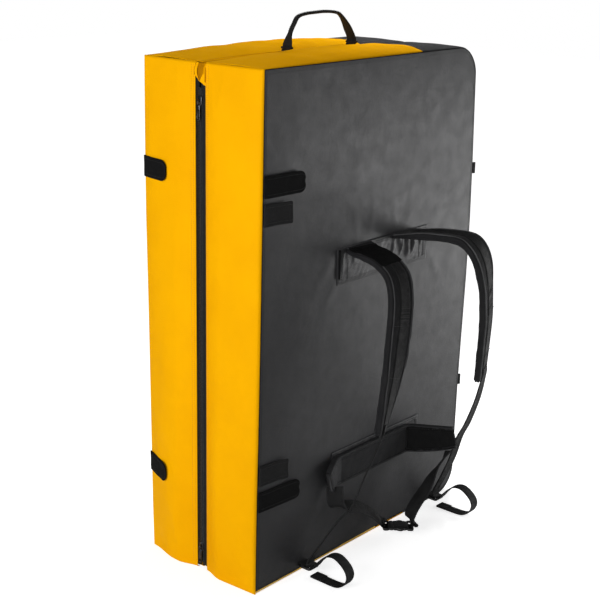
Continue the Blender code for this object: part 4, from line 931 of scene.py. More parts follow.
def carry_profile(path, frame_ways, widths, thicks, profile):
    """Rings of points: station + side share x half width x across + rise share x half thickness x face."""
    _, across, face = frame_ways
    profile = np.asarray(profile, float)
    if profile.ndim == 2:
        profile = np.broadcast_to(profile, (len(path), *profile.shape))
    widths = np.broadcast_to(np.asarray(widths, float), len(path))
    thicks = np.broadcast_to(np.asarray(thicks, float), len(path))
    side = profile[:, :, 0] * widths[:, None] / 2
    rise = profile[:, :, 1] * thicks[:, None] / 2
    rings = path[:, None, :] + side[:, :, None] * across[:, None, :] + rise[:, :, None] * face[:, None, :]
    return rings, side


def tube_piece(name, rings, side, finish, walked=None):
    """Closed skin over rings of points, capped at both ends, with its flat map in metres."""
    stations, count = rings.shape[:2]
    points = rings.reshape(-1, 3)
    faces = grid_faces(stations, count, round_rows=True)
    if walked is None:
        walked = walked_along(rings.mean(axis=1))
    outward = (points - np.repeat(rings.mean(axis=1), count, axis=0))[faces[:, 0]]
    walls = turned_outward(points, faces, outward)
    first = list(range(count))
    last = list(range((stations - 1) * count, stations * count))
    caps = [first[::-1], last] if walls is faces else [first, last[::-1]]
    return make_piece(name, points, walls.tolist() + caps, laid(side, walked[:, None]).reshape(-1, 2), finish)


def band(name, path, across, widths, thicks, finish, profile=None, ends=(None, None)):
    """Strap along a path; its profile is flat, or given, or rounded by two powers and a count."""
    ways = band_frame(path, across, ends)
    if isinstance(profile, tuple):
        profile = rounded_profile(*profile)
    profile = flat_profile() if profile is None else profile
    rings, side = carry_profile(path, ways, widths, thicks, profile)
    return tube_piece(name, rings, side, finish)


print("profile of", len(flat_profile()), "points for webbing")

# %% [markdown]
# ## Stitches
#
# A topstitch is a row of short thread bridges, each sunk at both ends. They could be
# painted, but real ones catch the light, so each is a small bent bar of a few faces. One
# bar is worked out once, and a single sum places it along the whole line.


# %% Stitch helper
def stitch_line(name, path, face, finish=black_thread, pitch=0.0042, length=0.0030, radius=0.00035):
    """Row of thread bars along a path: each bar is a bent tube with four sides and six rings."""
    path, face = np.asarray(path, float), np.asarray(face, float)
    face = np.broadcast_to(face, path.shape)
    walked = walked_along(path)
    count = max(1, int(walked[-1] / pitch))
    where = (np.arange(count) + 0.5) * walked[-1] / count
    place = read_at(walked, path, where)
    along = unit(read_at(walked, path, where + 1e-4) - read_at(walked, path, where - 1e-4))
    out = read_at(walked, face, where)
    out = unit(out - along * np.sum(out * along, axis=1, keepdims=True))
    side = np.cross(along, out)
    step = np.linspace(-1, 1, 6)
    turn = np.linspace(0, 2 * math.pi, 5)[:-1] + math.pi / 4
    thick = radius * np.sqrt(np.maximum(1 - 0.85 * step**4, 0.05))[:, None]
    a = np.repeat(step[:, None] * length / 2, 4, axis=1)
    b = thick * np.cos(turn)[None, :]
    c = thick * np.sin(turn)[None, :] + radius * (0.6 - 1.5 * step[:, None] ** 4)
    bars = (
        place[:, None, None, :]
        + a[None, :, :, None] * along[:, None, None, :]
        + b[None, :, :, None] * side[:, None, None, :]
        + c[None, :, :, None] * out[:, None, None, :]
    )
    one = grid_faces(6, 4, round_rows=True)
    faces = (one[None, :, :] + 24 * np.arange(count)[:, None, None]).reshape(-1, 4)
    ends = np.array([[3, 2, 1, 0], [20, 21, 22, 23]])
    faces = np.concatenate([faces, (ends[None] + 24 * np.arange(count)[:, None, None]).reshape(-1, 4)])
    points = bars.reshape(-1, 3)
    outward = (points - np.repeat(bars.mean(axis=(1, 2)), 24, axis=0))[faces[:, 0]]
    return make_piece(name, points, turned_outward(points, faces, outward).tolist(), None, finish)


def under(parent, *children):
    """Small pieces ride with the piece that they are sewn to."""
    for child in children:
        child.parent = parent


print("stitch helper ready")

# %% [markdown]
# ## Zip
#
# The zip is two woven tapes, each with a row of coil teeth, and a slider at either end. A
# tape is a strip whose outer edge dips under the hem. A tooth is a short bar with a thicker
# head, and the teeth of the two sides lie half a pitch apart, so that they mesh.


# %% Zip tapes
ZIP_PLANE = ZIP_X - 0.005 + 0.00075
TOOTH_PITCH = 0.0026


def zip_tape(prefix):
    """Strip beside the teeth: flat, then sunk by nearly two millimetres under the hem."""
    side, body = HALVES[prefix]
    reach = np.concatenate([np.linspace(0.0022, HEM - 0.003, 8), np.linspace(HEM - 0.002, HEM + 0.004, 6)])[None, :]
    z = np.linspace(ZIP_BOTTOM, ZIP_TOP, 240)[:, None]
    sink = 0.0018 * smooth_step(reach, HEM - 0.004, HEM + 0.001)
    ripple = 0.00025 * waviness(reach, z, 80 + side, 0.05, 2) * smooth_step(reach, 0.003, 0.008)
    points = laid(ZIP_PLANE - 0.0005 + sink + ripple, SPLIT + side * reach, z)
    piece = cloth_grid(f"{prefix}_zip_band", points, zip_tape_cloth, (-1, 0, 0), wall=0.0009,
                       flat=laid(side * reach, z))
    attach(piece, body)
    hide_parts(f"{prefix}_zip_tape")


zip_tape_cloth = webbing_cloth("zip_tape_cloth", (0.016, 0.016, 0.017), (0.005, 0.005, 0.005), 0.0010)
for prefix in HALVES:
    zip_tape(prefix)
print("tapes", round(ZIP_TOP - ZIP_BOTTOM, 3), "m long")


# %% Zip teeth
def repeat_shape(one, one_faces, places):
    """Copies of one small shape, moved to each place, as one pair of arrays."""
    points = (one[None, :, :] + places[:, None, :]).reshape(-1, 3)
    jump = len(one) * np.arange(len(places))
    faces = (one_faces[None, :, :] + jump[:, None, None]).reshape(-1, one_faces.shape[1])
    return points, faces


def tooth_shape(side):
    """Bar across the tape: an oval tube that swells into a head past the middle of the zip."""
    along = np.array([-0.0010, -0.0008, 0.0003, 0.0012, 0.0022, 0.0050, 0.0056])
    size = np.array([0.35, 0.80, 1.00, 0.72, 0.70, 0.66, 0.25])
    turn = np.linspace(0, 2 * math.pi, 7)[:-1]
    x = -0.0013 * size[:, None] * np.cos(turn)[None, :]
    z = 0.00105 * size[:, None] * np.sin(turn)[None, :]
    y = side * np.repeat(along[:, None], 6, axis=1)
    points = laid(x, y, z).reshape(-1, 3)
    faces = grid_faces(len(along), 6, round_rows=True)
    outward = (points - points.reshape(-1, 6, 3).mean(axis=1).repeat(6, axis=0))[faces[:, 0]]
    return points, turned_outward(points, faces, outward)


def tooth_row(prefix):
    side, body = HALVES[prefix]
    start, end = 0.020, 0.958
    count = int((end - start) / TOOTH_PITCH)
    z = start + (np.arange(count) + (0.5 if side == FAR else 0.0)) * TOOTH_PITCH
    places = laid(ZIP_PLANE - 0.0006, SPLIT, z)
    points, faces = repeat_shape(*tooth_shape(side), places)
    piece = make_piece(f"{prefix}_zip_teeth", points, faces.tolist(), None, zip_tooth_plastic)
    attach(piece, body)
    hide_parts(f"{prefix}_zip_chain")
    return piece


tooth_rows = [tooth_row(prefix) for prefix in HALVES]
print("teeth:", [len(row.data.vertices) // 42 for row in tooth_rows])

# %% [markdown]
# ### Sliders and pulls
#
# A slider is two shield-shaped plates with the teeth between them, joined by a bridge, with
# an arch on the front that holds the pull. Each plate is an outline filled by rings that
# shrink towards its middle while they rise, which gives a cast plate with soft edges. The
# pull hangs from the arch: a ring round it, then a tongue with a hole.


# %% Slider plates and pulls
def cast_plate(outline, thick, crown, place, front):
    """Closed plate from an outline in Y and Z: rings shrink to the middle while the face swells by the crown."""
    shrink = np.array([0.02, 0.94, 1.0, 1.0, 0.94, 0.80, 0.45, 0.02])
    rise = np.array([0.0, 0.0, 0.15, 0.75, 1.0, 1.0 + crown * 0.5, 1.0 + crown, 1.0 + crown * 1.1])
    y = outline[None, :, 0] * shrink[:, None]
    z = outline[None, :, 1] * shrink[:, None]
    x = np.repeat((front * rise * thick)[:, None], len(outline), axis=1)
    return laid(x, y, z) + np.asarray(place)


def shield_outline(length, wide, narrow):
    """Rounded outline, wide at the top and narrower at the bottom."""
    turn = np.linspace(0, 2 * math.pi, 32, endpoint=False)
    z = squared_off(np.sin(turn), 0.75) * length / 2
    share = (z / length) + 0.5
    width = (narrow + (wide - narrow) * smooth_step(share, 0.1, 0.9)) / 2
    y = squared_off(np.cos(turn), 0.6) * width
    return laid(y, z)


def read_mesh(mesh):
    """Vertices, and the corner indices with each face's corner count, as flat arrays."""
    place = np.zeros(len(mesh.vertices) * 3)
    mesh.vertices.foreach_get("co", place)
    corners = np.zeros(len(mesh.loops), dtype=np.int64)
    mesh.loops.foreach_get("vertex_index", corners)
    counts = np.zeros(len(mesh.polygons), dtype=np.int64)
    mesh.polygons.foreach_get("loop_total", counts)
    return place.reshape(-1, 3), corners, counts


def joined(name, pieces):
    """Several small pieces of one material made one mesh."""
    points, faces, start = [], [], 0
    for piece in pieces:
        place, corners, counts = read_mesh(piece.data)
        points.append(place)
        faces += [part.tolist() for part in np.split(corners + start, np.cumsum(counts)[:-1])]
        start += len(place)
    whole = make_piece(name, np.concatenate(points), faces, None, pieces[0].data.materials[0])
    for piece in pieces:
        bpy.data.objects.remove(piece)
    return whole


def zip_slider(prefix, height, upside):
    """Two plates 4.4 mm apart, a bridge between them and an arch on the front plate."""
    outline = shield_outline(0.022, 0.0130, 0.0095) * (1, upside)
    front = cast_plate(outline, 0.0013, 0.5, (ZIP_PLANE - 0.0021, SPLIT, height), -1)
    rear = cast_plate(outline * 0.97, 0.0012, 0.1, (ZIP_PLANE + 0.0017, SPLIT, height), 1)
    pieces = [tube_piece(f"{prefix}_{word}_plate", rings, np.zeros(rings.shape[:2]), zip_metal)
              for word, rings in (("front", front), ("rear", rear))]
    bridge = laid(ZIP_PLANE + np.linspace(-0.0022, 0.0018, 5), SPLIT, height + upside * 0.0085)
    turn = np.linspace(0, math.pi, 14)
    arch = laid(ZIP_PLANE - 0.0032 - 0.0050 * np.sin(turn), SPLIT, height + 0.0048 * np.cos(turn))
    for word, line, wide, thick in (("bridge", bridge, 0.0026, 0.0034), ("arch", arch, 0.0030, 0.0016)):
        pieces.append(band(f"{prefix}_{word}", line, (0, 1, 0), wide, thick, zip_metal, (3, 3, 12)))
    piece = joined(f"{prefix}_slider_cast", pieces)
    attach(piece, f"{prefix}_slider")
    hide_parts(f"{prefix}_zip_slider")


PULL_THICK = 0.0018


def zip_pull(prefix, height):
    """Ring round the arch, a neck and a flat tongue with a hole near its end."""
    low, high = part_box(f"{prefix}_zip_pull")
    pin_x = (low[0] + high[0]) / 2
    tongue_top, tongue_end = height - 0.0050, height - 0.0340
    count = 40
    turn = np.linspace(0, 2 * math.pi, count, endpoint=False)
    middle, half = (tongue_top + tongue_end) / 2, (tongue_top - tongue_end) / 2
    outer = (0.0040 * squared_off(np.cos(turn), 0.55), middle + half * squared_off(np.sin(turn), 0.5))
    hole = (0.0022 * np.cos(turn), tongue_end + 0.0060 + 0.0030 * np.sin(turn))
    lay = [(*outer, 0.0, 1.0), (*outer, 0.25, 1.03), (*outer, 0.75, 1.03), (*outer, 1.0, 1.0),
           (*hole, 1.0, 1.12), (*hole, 0.75, 1.0), (*hole, 0.25, 1.0), (*hole, 0.0, 1.12)]
    rings = np.array([
        laid(pin_x + PULL_THICK * (0.5 - rise), SPLIT + y * grow, z.mean() + (z - z.mean()) * grow)
        for y, z, rise, grow in lay
    ])
    points = rings.reshape(-1, 3)
    faces = grid_faces(len(lay) + 1, count, round_rows=True) % len(points)
    outward = points[faces].mean(axis=1) - points.mean(axis=0)
    outward[3 * count:] = 0  # only the outer skin tells which way is out
    faces = turned_outward(points, faces, outward).tolist()
    tongue = make_piece(f"{prefix}_tongue", points, faces, None, zip_metal)
    turn = np.linspace(0, 2 * math.pi, 20)
    ring_path = laid(pin_x, SPLIT + 0.0026 * np.sin(turn), height - 0.0026 + 0.0036 * np.cos(turn))
    ring = band(f"{prefix}_ring", ring_path, (1, 0, 0), 0.0016, 0.0014, zip_metal, (2, 2, 8))
    piece = joined(f"{prefix}_pull_cast", [tongue, ring])
    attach(piece, f"{prefix}_pull")
    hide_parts(f"{prefix}_zip_pull")


for prefix, upside in (("top", 1), ("bottom", -1)):
    low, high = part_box(f"{prefix}_zip_slider")
    middle = (low[2] + high[2]) / 2
    zip_slider(prefix, middle, upside)
    zip_pull(prefix, middle)
print("two sliders with pulls")

# %% [markdown]
# ## Shoulder straps
#
# Each strap leaves the patch near the top, stands out from the panel, turns down and hangs
# as a padded band. It could be a flat curve with a bevel, but a pad has flat faces, square
# edges and two layers, so its profile is a square superellipse with a groove at each edge.
# The route is the frame's own, and the width turns a little in plan as it goes down.


# %% Strap routes
HARNESS_X = 0.022
PATCH_FRONT = PLATEAU - 0.0015
ROOT_Z = 0.641
LOCK_TOP = 0.021
STRAP_THICK = 0.013
WEB_WIDTH, WEB_THICK = 0.025, 0.0022  # lower webbings and tails
WEB_BROAD, WEB_SHIFT = 0.029, 0.005  # webbing on the pad's outer face, off its middle line

STRAPS = {
    "left": {
        "root": -0.070, "anchor": -0.225, "reach": 0.120, "pad_end": 0.995,
        "strap": [(0.015, 0.988), (0.10, 0.990), (0.22, 0.988), (0.46, 0.976), (0.667, 0.956), (0.80, 0.932),
                  (0.89, 0.892), (0.945, 0.832), (0.985, 0.735), (1.01, 0.640), (1.01, 0.496), (1.0, 0.434)],
        "bow": [(0.434, 0.0), (0.55, 0.007), (0.70, 0.011), (0.85, 0.007), (0.93, 0.001),
                (0.97, -0.003), (0.985, -0.009), (1.0, -0.009)],
        "webbing": [(0.99, 0.382), (0.92, 0.336), (0.76, 0.223), (0.56, 0.165), (0.36, 0.098),
                    (0.19, 0.035), (0.15, 0.015), (0.15, 0.0)],
        "strap_turn": [(0.0, 0.0), (0.62, -1.0), (0.80, 8.0), (0.92, 18.0), (1.0, 24.0)],
        "webbing_turn": [(0.0, 24.0, 0.0), (0.12, 37.0, 0.35), (0.35, 38.7, 0.46), (0.80, 38.7, 0.46),
                         (0.96, 8.0, 0.0), (1.0, 0.0, 0.0)],
    },
    "right": {
        "root": 0.068, "anchor": 0.206, "reach": 0.190, "pad_end": 0.965,
        "strap": [(0.010, 1.0), (0.16, 1.007), (0.47, 1.021), (0.79, 1.026), (0.92, 1.002), (0.984, 0.957),
                  (1.0, 0.900), (0.99, 0.835), (0.966, 0.753), (0.895, 0.632), (0.821, 0.516)],
        "bow": [(0.0, 0.0), (1.0, 0.0)],
        "webbing": [(0.789, 0.455), (0.632, 0.349), (0.505, 0.280), (0.379, 0.185),
                    (0.222, 0.091), (0.115, 0.032), (0.095, 0.012), (0.095, 0.0)],
        "strap_turn": [(0.0, 0.0), (0.35, 3.0), (0.55, 19.0), (1.0, 19.0)],
        "webbing_turn": [(0.0, 19.0, 0.0), (0.14, 8.0, 0.0), (0.5, -3.0, 0.0), (0.9, -3.0, 0.0), (1.0, 0.0, 0.0)],
    },
}


def read_shares(table, shares):
    """Values of a table at the given shares, one column for each value after the first."""
    table = np.asarray(table, float)
    return np.stack([np.interp(shares, table[:, 0], column) for column in table[:, 1:].T], axis=-1)


def strap_places(strap, table):
    """Places of a route from its shares of reach and of height."""
    out, rise = np.asarray(table, float).T
    root, anchor = HARNESS_X + strap["root"], HARNESS_X + strap["anchor"]
    low = LOCK_TOP + 0.001
    return laid(anchor + rise * (root - anchor), PLATEAU - out * strap["reach"], low + rise * (ROOT_Z - low))


def turned_across(count, table):
    """Width direction: +X turned in plan by an angle, and dropped by a share."""
    values = read_shares(table, np.linspace(0, 1, count))
    angles = np.radians(values[:, 0])
    drop = values[:, 1] if values.shape[1] > 1 else np.zeros(count)
    return unit(laid(np.cos(angles), np.sin(angles), -drop))


STRAP_STATIONS = 150


def strap_path(strap):
    places = strap_places(strap, strap["strap"])
    root = HARNESS_X + strap["root"]
    places[0] = (root, PATCH_FRONT - 0.0003, ROOT_Z)
    places[1, 0] = root
    rise = np.asarray(strap["strap"])[:, 1]
    places[:, 0] += read_shares(strap["bow"], rise)[:, 0]
    whole = smooth_route(places, STRAP_STATIONS)
    kept = round(strap["pad_end"] * STRAP_STATIONS)
    return smooth_route(whole[:kept:6], STRAP_STATIONS)


def strap_widths(path):
    """90 mm at the root, 68 mm once it stands out, 53 mm at the end of the pad."""
    out = np.clip((PLATEAU - path[:, 1]) / 0.057, 0, 1) ** 0.7
    lower = np.clip(2 * np.linspace(0, 1, len(path)) - 1, 0, 1)
    return 0.090 + (0.068 - 0.090) * out + (0.053 - 0.068) * lower


def strap_shape(word):
    """Path, frame ways, widths and thicknesses of one pad: thinner at the root, eased at the end."""
    strap = STRAPS[word]
    path = strap_path(strap)
    ways = band_frame(path, turned_across(STRAP_STATIONS, strap["strap_turn"]), ((0, -1, 0), None))
    share = np.linspace(0, 1, STRAP_STATIONS)
    thick = STRAP_THICK * (0.50 + 0.50 * smooth_step(share, 0.0, 0.16))
    thick = thick * (1 - 0.35 * smooth_step(share, 0.985, 1.0))
    widths = strap_widths(path) * (1 - 0.22 * smooth_step(share, 0.975, 1.0))
    return path, ways, widths, thick


print("strap paths of", [round(float(walked_along(strap_path(strap))[-1]), 3) for strap in STRAPS.values()], "m")


# %% Padded straps
def pad_profile():
    """Square-edged superellipse whose side share dips where the two layers meet."""
    profile = rounded_profile(20.0, 5.0, 72)
    dip = 0.045 * np.exp(-((profile[:, 1] / 0.25) ** 2)) * (np.abs(profile[:, 0]) > 0.5)
    profile[:, 0] *= 1 - dip
    return profile


def strap_pad(word):
    """Pad with gathers at its root, small dents, and two sunk seams beside the middle webbing."""
    path, ways, widths, thick = strap_shape(word)
    profile = pad_profile()
    rings, side = carry_profile(path, ways, widths, thick, profile)
    walked = np.linspace(0, 1, len(path)) * walked_along(path)[-1]
    gather = 0.0018 * np.sin(side / 0.0050 + 1.3) * np.exp(-walked[:, None] / 0.030)
    dent = 0.0006 * waviness(side, walked[:, None], 5 if word == "left" else 6, 0.05, 2)
    seam = -0.0012 * np.exp(-(((np.abs(side - WEB_SHIFT) - WEB_BROAD / 2 - 0.0012) / 0.0016) ** 2))
    shift = (gather + dent + seam * (profile[:, 1] > 0.3)[None, :]) * np.sign(profile[:, 1])[None, :]
    rings = rings + shift[:, :, None] * ways[2][:, None, :]
    return tube_piece(f"{word}_strap_pad", rings, side, pad_mesh_cloth, walked)


def strap_dressing(word):
    """Middle webbing, grey piping on the outer face's two edges as painted sheen, a near-black sleeve over the left
    root as painted shade, and stitches.
    """
    path, (_, across, face), widths, thick = strap_shape(word)
    top = (thick / 2)[:, None] * face
    middle = path + top + WEB_SHIFT * across + 0.0004 * face
    parts = [band(f"{word}_strap_webbing", middle[4:-2], across[4:-2], WEB_BROAD, 0.0020, black_webbing)]
    # Grey of the piping is painted sheen, dimmer on the shaded left strap.
    piping = sheen_painted_piping if word == "right" else dim_sheen_painted_piping
    for sign, edge_word in ((-1, "inner"), (1, "outer")):
        name = f"{word}_strap_piping_{edge_word}"
        edge = path + sign * (widths / 2 - 0.0058)[:, None] * across + 1.02 * top
        parts.append(band(name, edge, face, 0.0026, 0.0026, piping, (2.2, 2.2, 12)))
        lower = path + sign * (widths / 2 * 0.965)[:, None] * across - 0.55 * top
        parts.append(band(f"{name}_rear", lower, face, 0.0030, 0.0030, binding_cloth, (2.2, 2.2, 10)))
        seam = middle + sign * (WEB_BROAD / 2 - 0.0022) * across + 0.0012 * face
        parts.append(stitch_line(f"{word}_strap_seam_{edge_word}", seam[6:-3], face[6:-3]))
    # Near-black sleeve over the left root: painted shade on the top of the strap.
    if word == "left":
        drop = int(np.argmax(path[:, 1] < PLATEAU - 0.66 * STRAPS[word]["reach"]))
        cover = (path + top + 0.0017 * face)[2:drop]
        broad = widths[2:drop] * 0.95
        parts.append(band("left_strap_root_shade_painted", cover, across[2:drop], broad, 0.0016, shade_painted_black_cloth))
    above_fall = np.linspace(0, 1, len(path)) <= 0.4
    for row, height in enumerate(TACK_ROWS + PAD_ROWS):
        at = int(np.argmin(np.abs(path[:, 2] - height) + 10.0 * above_fall))
        half, shift, finish = WEB_BROAD / 2 - 0.001, 0, tack_thread
        if height in PAD_ROWS:
            half, shift, finish = widths[at] / 2 * 0.92, -WEB_SHIFT, black_thread
        line = middle[at] + np.linspace(shift - half, shift + half, 8)[:, None] * across[at] + 0.0013 * face[at]
        parts.append(stitch_line(f"{word}_cross_row_{row}", line, face[at], finish, 0.0020, 0.0017, 0.00042))
    return parts


TACK_ROWS = [0.563, 0.559, 0.555, 0.551, 0.547, 0.533, 0.529, 0.525, 0.521, 0.517]  # heights, on the webbing
PAD_ROWS = [0.508, 0.412]  # heights, over the whole pad
# The piping's grey is painted sheen along the strap edges; the left strap's dimmer copy is painted for its shade.
dim_sheen_painted_piping = webbing_cloth("piping_dim_sheen_painted", (0.070, 0.070, 0.073), (0.040, 0.040, 0.042), 0.0014)
sheen_painted_piping = webbing_cloth("piping_sheen_painted_grey", (0.125, 0.125, 0.128), (0.070, 0.070, 0.073), 0.0014)
tack_thread = plain_finish("tack_thread", (0.052, 0.052, 0.054), (0.030, 0.030, 0.032), 0.50, 900.0, 0.0002)
for word, strap in STRAPS.items():
    pad = strap_pad(word)
    for piece in (pad, *strap_dressing(word)):
        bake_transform(piece)
    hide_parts(f"{word}_shoulder_pad", f"{word}_strap_root")
print("two padded straps")

# %% [markdown]
# ## Lower webbings, locks, anchors and tails
#
# Plain webbing leaves the outer face of each pad and hangs to its ladder lock at the bottom
# edge, where it goes up through one slot, over the middle bar and down through the other.
# What is left over lies in a loop on the floor. The lock itself hangs in a folded tab.


# %% Lower webbings and tails
def lower_webbing(word):
    strap = STRAPS[word]
    path, ways, _, thick = strap_shape(word)
    outer = path + (thick / 2 + 0.0016)[:, None] * ways[2] + WEB_SHIFT * ways[1]
    route = smooth_route(np.concatenate([outer[-9:-1:3], strap_places(strap, strap["webbing"])]), 120)
    across = turned_across(120, strap["webbing_turn"])
    piece = band(f"{word}_lower_web", route, across, WEB_WIDTH, WEB_THICK, black_webbing, ends=(None, (0, 0, -1)))
    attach(piece, f"{word}_strap")
    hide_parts(f"{word}_lower_webbing")
    across = band_frame(route, across)[1]
    for sign in (-1, 1):
        edge = route + sign * (WEB_WIDTH / 2 - 0.0012) * across
        name = f"{word}_lower_web_edge_{sign + 1}"
        under(piece, band(name, edge[2:-1], across[2:-1], 0.0020, 0.0030, black_webbing, (2.5, 2.5, 8)))


TAIL_REACH, TAIL_RISE = 0.092, 0.062
TAIL_START = 0.88 * 0.026  # from the lock's rear edge
TAIL_SHARES = [(0.0, 0.360), (0.07, 0.365), (0.20, 0.62), (0.42, 0.93), (0.66, 1.0), (0.90, 0.80),
               (1.0, 0.54), (0.94, 0.26), (0.78, 0.075), (0.60, 0.026), (0.30, 0.024), (0.02, 0.024)]


def line_across(half):
    """Eight places in a line along X, for a row of stitches across a webbing."""
    return laid(np.linspace(-half, half, 8), 0.0, 0.0)


def tail_loop(word):
    """Loop of spare webbing, with its end folded over and stitched flat."""
    x = HARNESS_X + STRAPS[word]["anchor"]
    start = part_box(f"{word}_ladder_lock")[1][1] - TAIL_START
    out, rise = np.asarray(TAIL_SHARES).T
    places = laid(x, start - out * TAIL_REACH, rise * TAIL_RISE)
    places[0, 2] = LOCK_TOP + 0.0003 + WEB_THICK / 2
    path = smooth_route(places, 120)
    path[:, 2] = np.maximum(path[:, 2], WEB_THICK / 2 + 0.0003)
    piece = band(f"{word}_tail_web", path, (1, 0, 0), WEB_WIDTH, WEB_THICK, black_webbing, ends=((0, -1, 0), None))
    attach(piece, f"{word}_tail")
    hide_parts(f"{word}_tail_loop")
    fold = path[-14:] + (0, 0, 0.0022)
    hem = band(f"{word}_tail_hem", fold, (1, 0, 0), WEB_WIDTH * 0.98, WEB_THICK, black_webbing)
    lines = [path[-row] + (0, 0, 0.0036) + line_across(0.011) for row in (2, 12)]
    rows = [stitch_line(f"{word}_tail_row_{k}", line, (0, 0, 1), black_thread, 0.0030, 0.0024)
            for k, line in enumerate(lines)]
    under(piece, hem, *rows)


for word in STRAPS:
    lower_webbing(word)
    tail_loop(word)
print("lower webbings and tails")


# %% Ladder locks and anchor tabs
LOCK_REAR_BAR = 0.0055  # from the lock's rear edge to the bar in its tab


def ring_path(centre, first, second, reach_a, reach_b, power):
    """Closed superellipse round a centre, in the plane of two directions."""
    turn = np.linspace(0, 2 * math.pi, 81)
    a = squared_off(np.cos(turn), 2 / power) * reach_a
    b = squared_off(np.sin(turn), 2 / power) * reach_b
    return np.asarray(centre) + a[:, None] * np.asarray(first, float) + b[:, None] * np.asarray(second, float)


def moulded_bar(name, start, end, width_way, wide, thick):
    """Straight bar between two places, a little thicker in its middle."""
    share = np.linspace(0, 1, 14)
    path = start + share[:, None] * (end - start)
    grow = 1 + 0.08 * np.sin(math.pi * share)
    return band(name, path, width_way, wide * grow, thick * grow, buckle_plastic, (4.0, 4.0, 20))


def ladder_lock(word):
    """Frame of a rounded ring with two cross bars; the front lip turns up as a finger grip."""
    low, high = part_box(f"{word}_ladder_lock")
    middle = (low + high) / 2
    x_way, y_way, z_way = np.eye(3)
    frame_path = ring_path(middle, x_way, y_way, 0.0143, 0.0113, 7.0)
    parts = [band(f"{word}_lock_frame", frame_path, z_way, 0.0056, 0.0034, buckle_plastic, (3, 3, 16))]
    for name, y, lift in (("middle", middle[1] - 0.0002, 0.0008), ("rear", high[1] - LOCK_REAR_BAR, 0.0)):
        ends = [np.array([middle[0] + sign * 0.0140, y, middle[2] + lift]) for sign in (-1, 1)]
        parts.append(moulded_bar(f"{word}_lock_{name}_bar", *ends, y_way, 0.0040, 0.0042))
    line = np.linspace(-1, 1, 17)
    swell = 1 - line**2
    lip = laid(middle[0] + 0.0125 * line, low[1] + 0.0005 - 0.0030 * swell, middle[2] + 0.0030 + 0.0012 * swell)
    lip_way = unit(y_way - 0.5 * z_way)
    parts.append(band(f"{word}_lock_lip", lip, lip_way, 0.0080, 0.0030, buckle_plastic, (3, 2.4, 16)))
    lock = joined(f"{word}_lock_cast", parts)
    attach(lock, "carry_half")
    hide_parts(f"{word}_ladder_lock")
    turn = np.linspace(math.pi * 1.15, -math.pi * 0.15, 22)
    wrap = laid(middle[0], middle[1] + 0.0041 * np.cos(turn), middle[2] + 0.0010 + 0.0046 * np.sin(turn))
    under(lock, band(f"{word}_lock_web", wrap, x_way, WEB_WIDTH * 0.92, WEB_THICK * 0.8, black_webbing))


def anchor_tab(word):
    """Webbing folded round the lock's rear bar, both ends going into the pad's bottom seam."""
    low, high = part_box(f"{word}_anchor_tab")
    x, z = (low[0] + high[0]) / 2, (low[2] + high[2]) / 2
    bar_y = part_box(f"{word}_ladder_lock")[1][1] - LOCK_REAR_BAR
    turn = np.linspace(math.pi / 2, -math.pi / 2, 14)
    back = laid(bar_y - 0.0034 * np.cos(turn), z + 0.0034 * np.sin(turn))
    top = np.array([[high[1] + 0.0045, z + 0.0010], [high[1], z + 0.0018], [high[1] - 0.004, z + 0.0032]])
    below = top[::-1] * (1, -1) + (0, 2 * z)
    route = np.concatenate([top, back, below])
    path = smooth_route(laid(x, *route.T), 60)
    tab = band(f"{word}_anchor_web", path, (1, 0, 0), WEB_WIDTH, 0.0016, black_webbing)
    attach(tab, "carry_half")
    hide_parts(f"{word}_anchor_tab")
    row = np.array([x, high[1] - 0.0030, z + 0.0040]) + line_across(0.010)
    under(tab, stitch_line(f"{word}_anchor_row", row, (0, 0, 1), black_thread, 0.0026, 0.0021))


for word in STRAPS:
    ladder_lock(word)
    anchor_tab(word)
print("ladder locks on their anchor tabs")

# %% [markdown]
# ## Waist belt
#
# The belt is a padded band against the panel, with a short end on the left and a longer
# wing on the right that stands out. Two rows of channel stitching near each edge pull the
# padding in, so the profile's thickness dips along those lines, and a binding closes the
# edges.


# %% Waist belt
BELT_Z, BELT_TALL, BELT_THICK = 0.1905, 0.061, 0.012
BELT_MIDDLE_X, BELT_HALF = HARNESS_X - 0.019, 0.110
BELT_Y = PATCH_FRONT - 0.0003 - BELT_THICK / 2
CHANNELS = np.array([-0.78, -0.58, 0.50, 0.76])


def belt_profile():
    """Padded profile with a dip in its thickness at each channel."""
    profile = rounded_profile(12.0, 3.4, 120)
    dips = np.exp(-(((profile[:, :1] - CHANNELS[None, :]) / 0.028) ** 2)).sum(axis=1)
    profile[:, 1] *= 1 - 0.42 * dips
    return profile


def belt_piece(word, path, heights, nodes, body, finish, ends=(None, None)):
    """Pad of the belt with bound edges and a thread row in each channel."""
    count = len(path)
    thick = BELT_THICK * (1 - 0.30 * smooth_step(np.linspace(0, 1, count), 0.97, 1.0))
    ways = band_frame(path, (0, 0, 1), ends)
    profile = belt_profile()
    rings, side = carry_profile(path, ways, heights, thick, profile)
    walked = walked_along(path)
    puckers = 0.0007 * waviness(side, walked[:, None], 60 + count, 0.022, 2) * np.sign(profile[:, 1])[None, :]
    rings = rings + puckers[:, :, None] * ways[2][:, None, :]
    piece = tube_piece(f"belt_{word}_pad", rings, side, finish, walked)
    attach(piece, body)
    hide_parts(*nodes)
    face = ways[2] if ways[2][count // 2, 1] < 0 else -ways[2]
    extras = []
    for sign, edge_word in ((1, "top"), (-1, "bottom")):
        edge = path + (sign * (heights / 2 - 0.0026))[:, None] * ways[1]
        name = f"belt_{word}_{edge_word}_binding"
        extras.append(band(name, edge, face, 0.0112, 0.0070, belt_binding, (3, 3, 20)))
    for k, share in enumerate(CHANNELS):
        seam = path + (share * heights / 2)[:, None] * ways[1] + BELT_THICK * 0.35 * face
        extras.append(stitch_line(f"belt_{word}_channel_{k}", seam, face, black_thread, 0.0040, 0.0030))
    under(piece, *extras)
    return piece


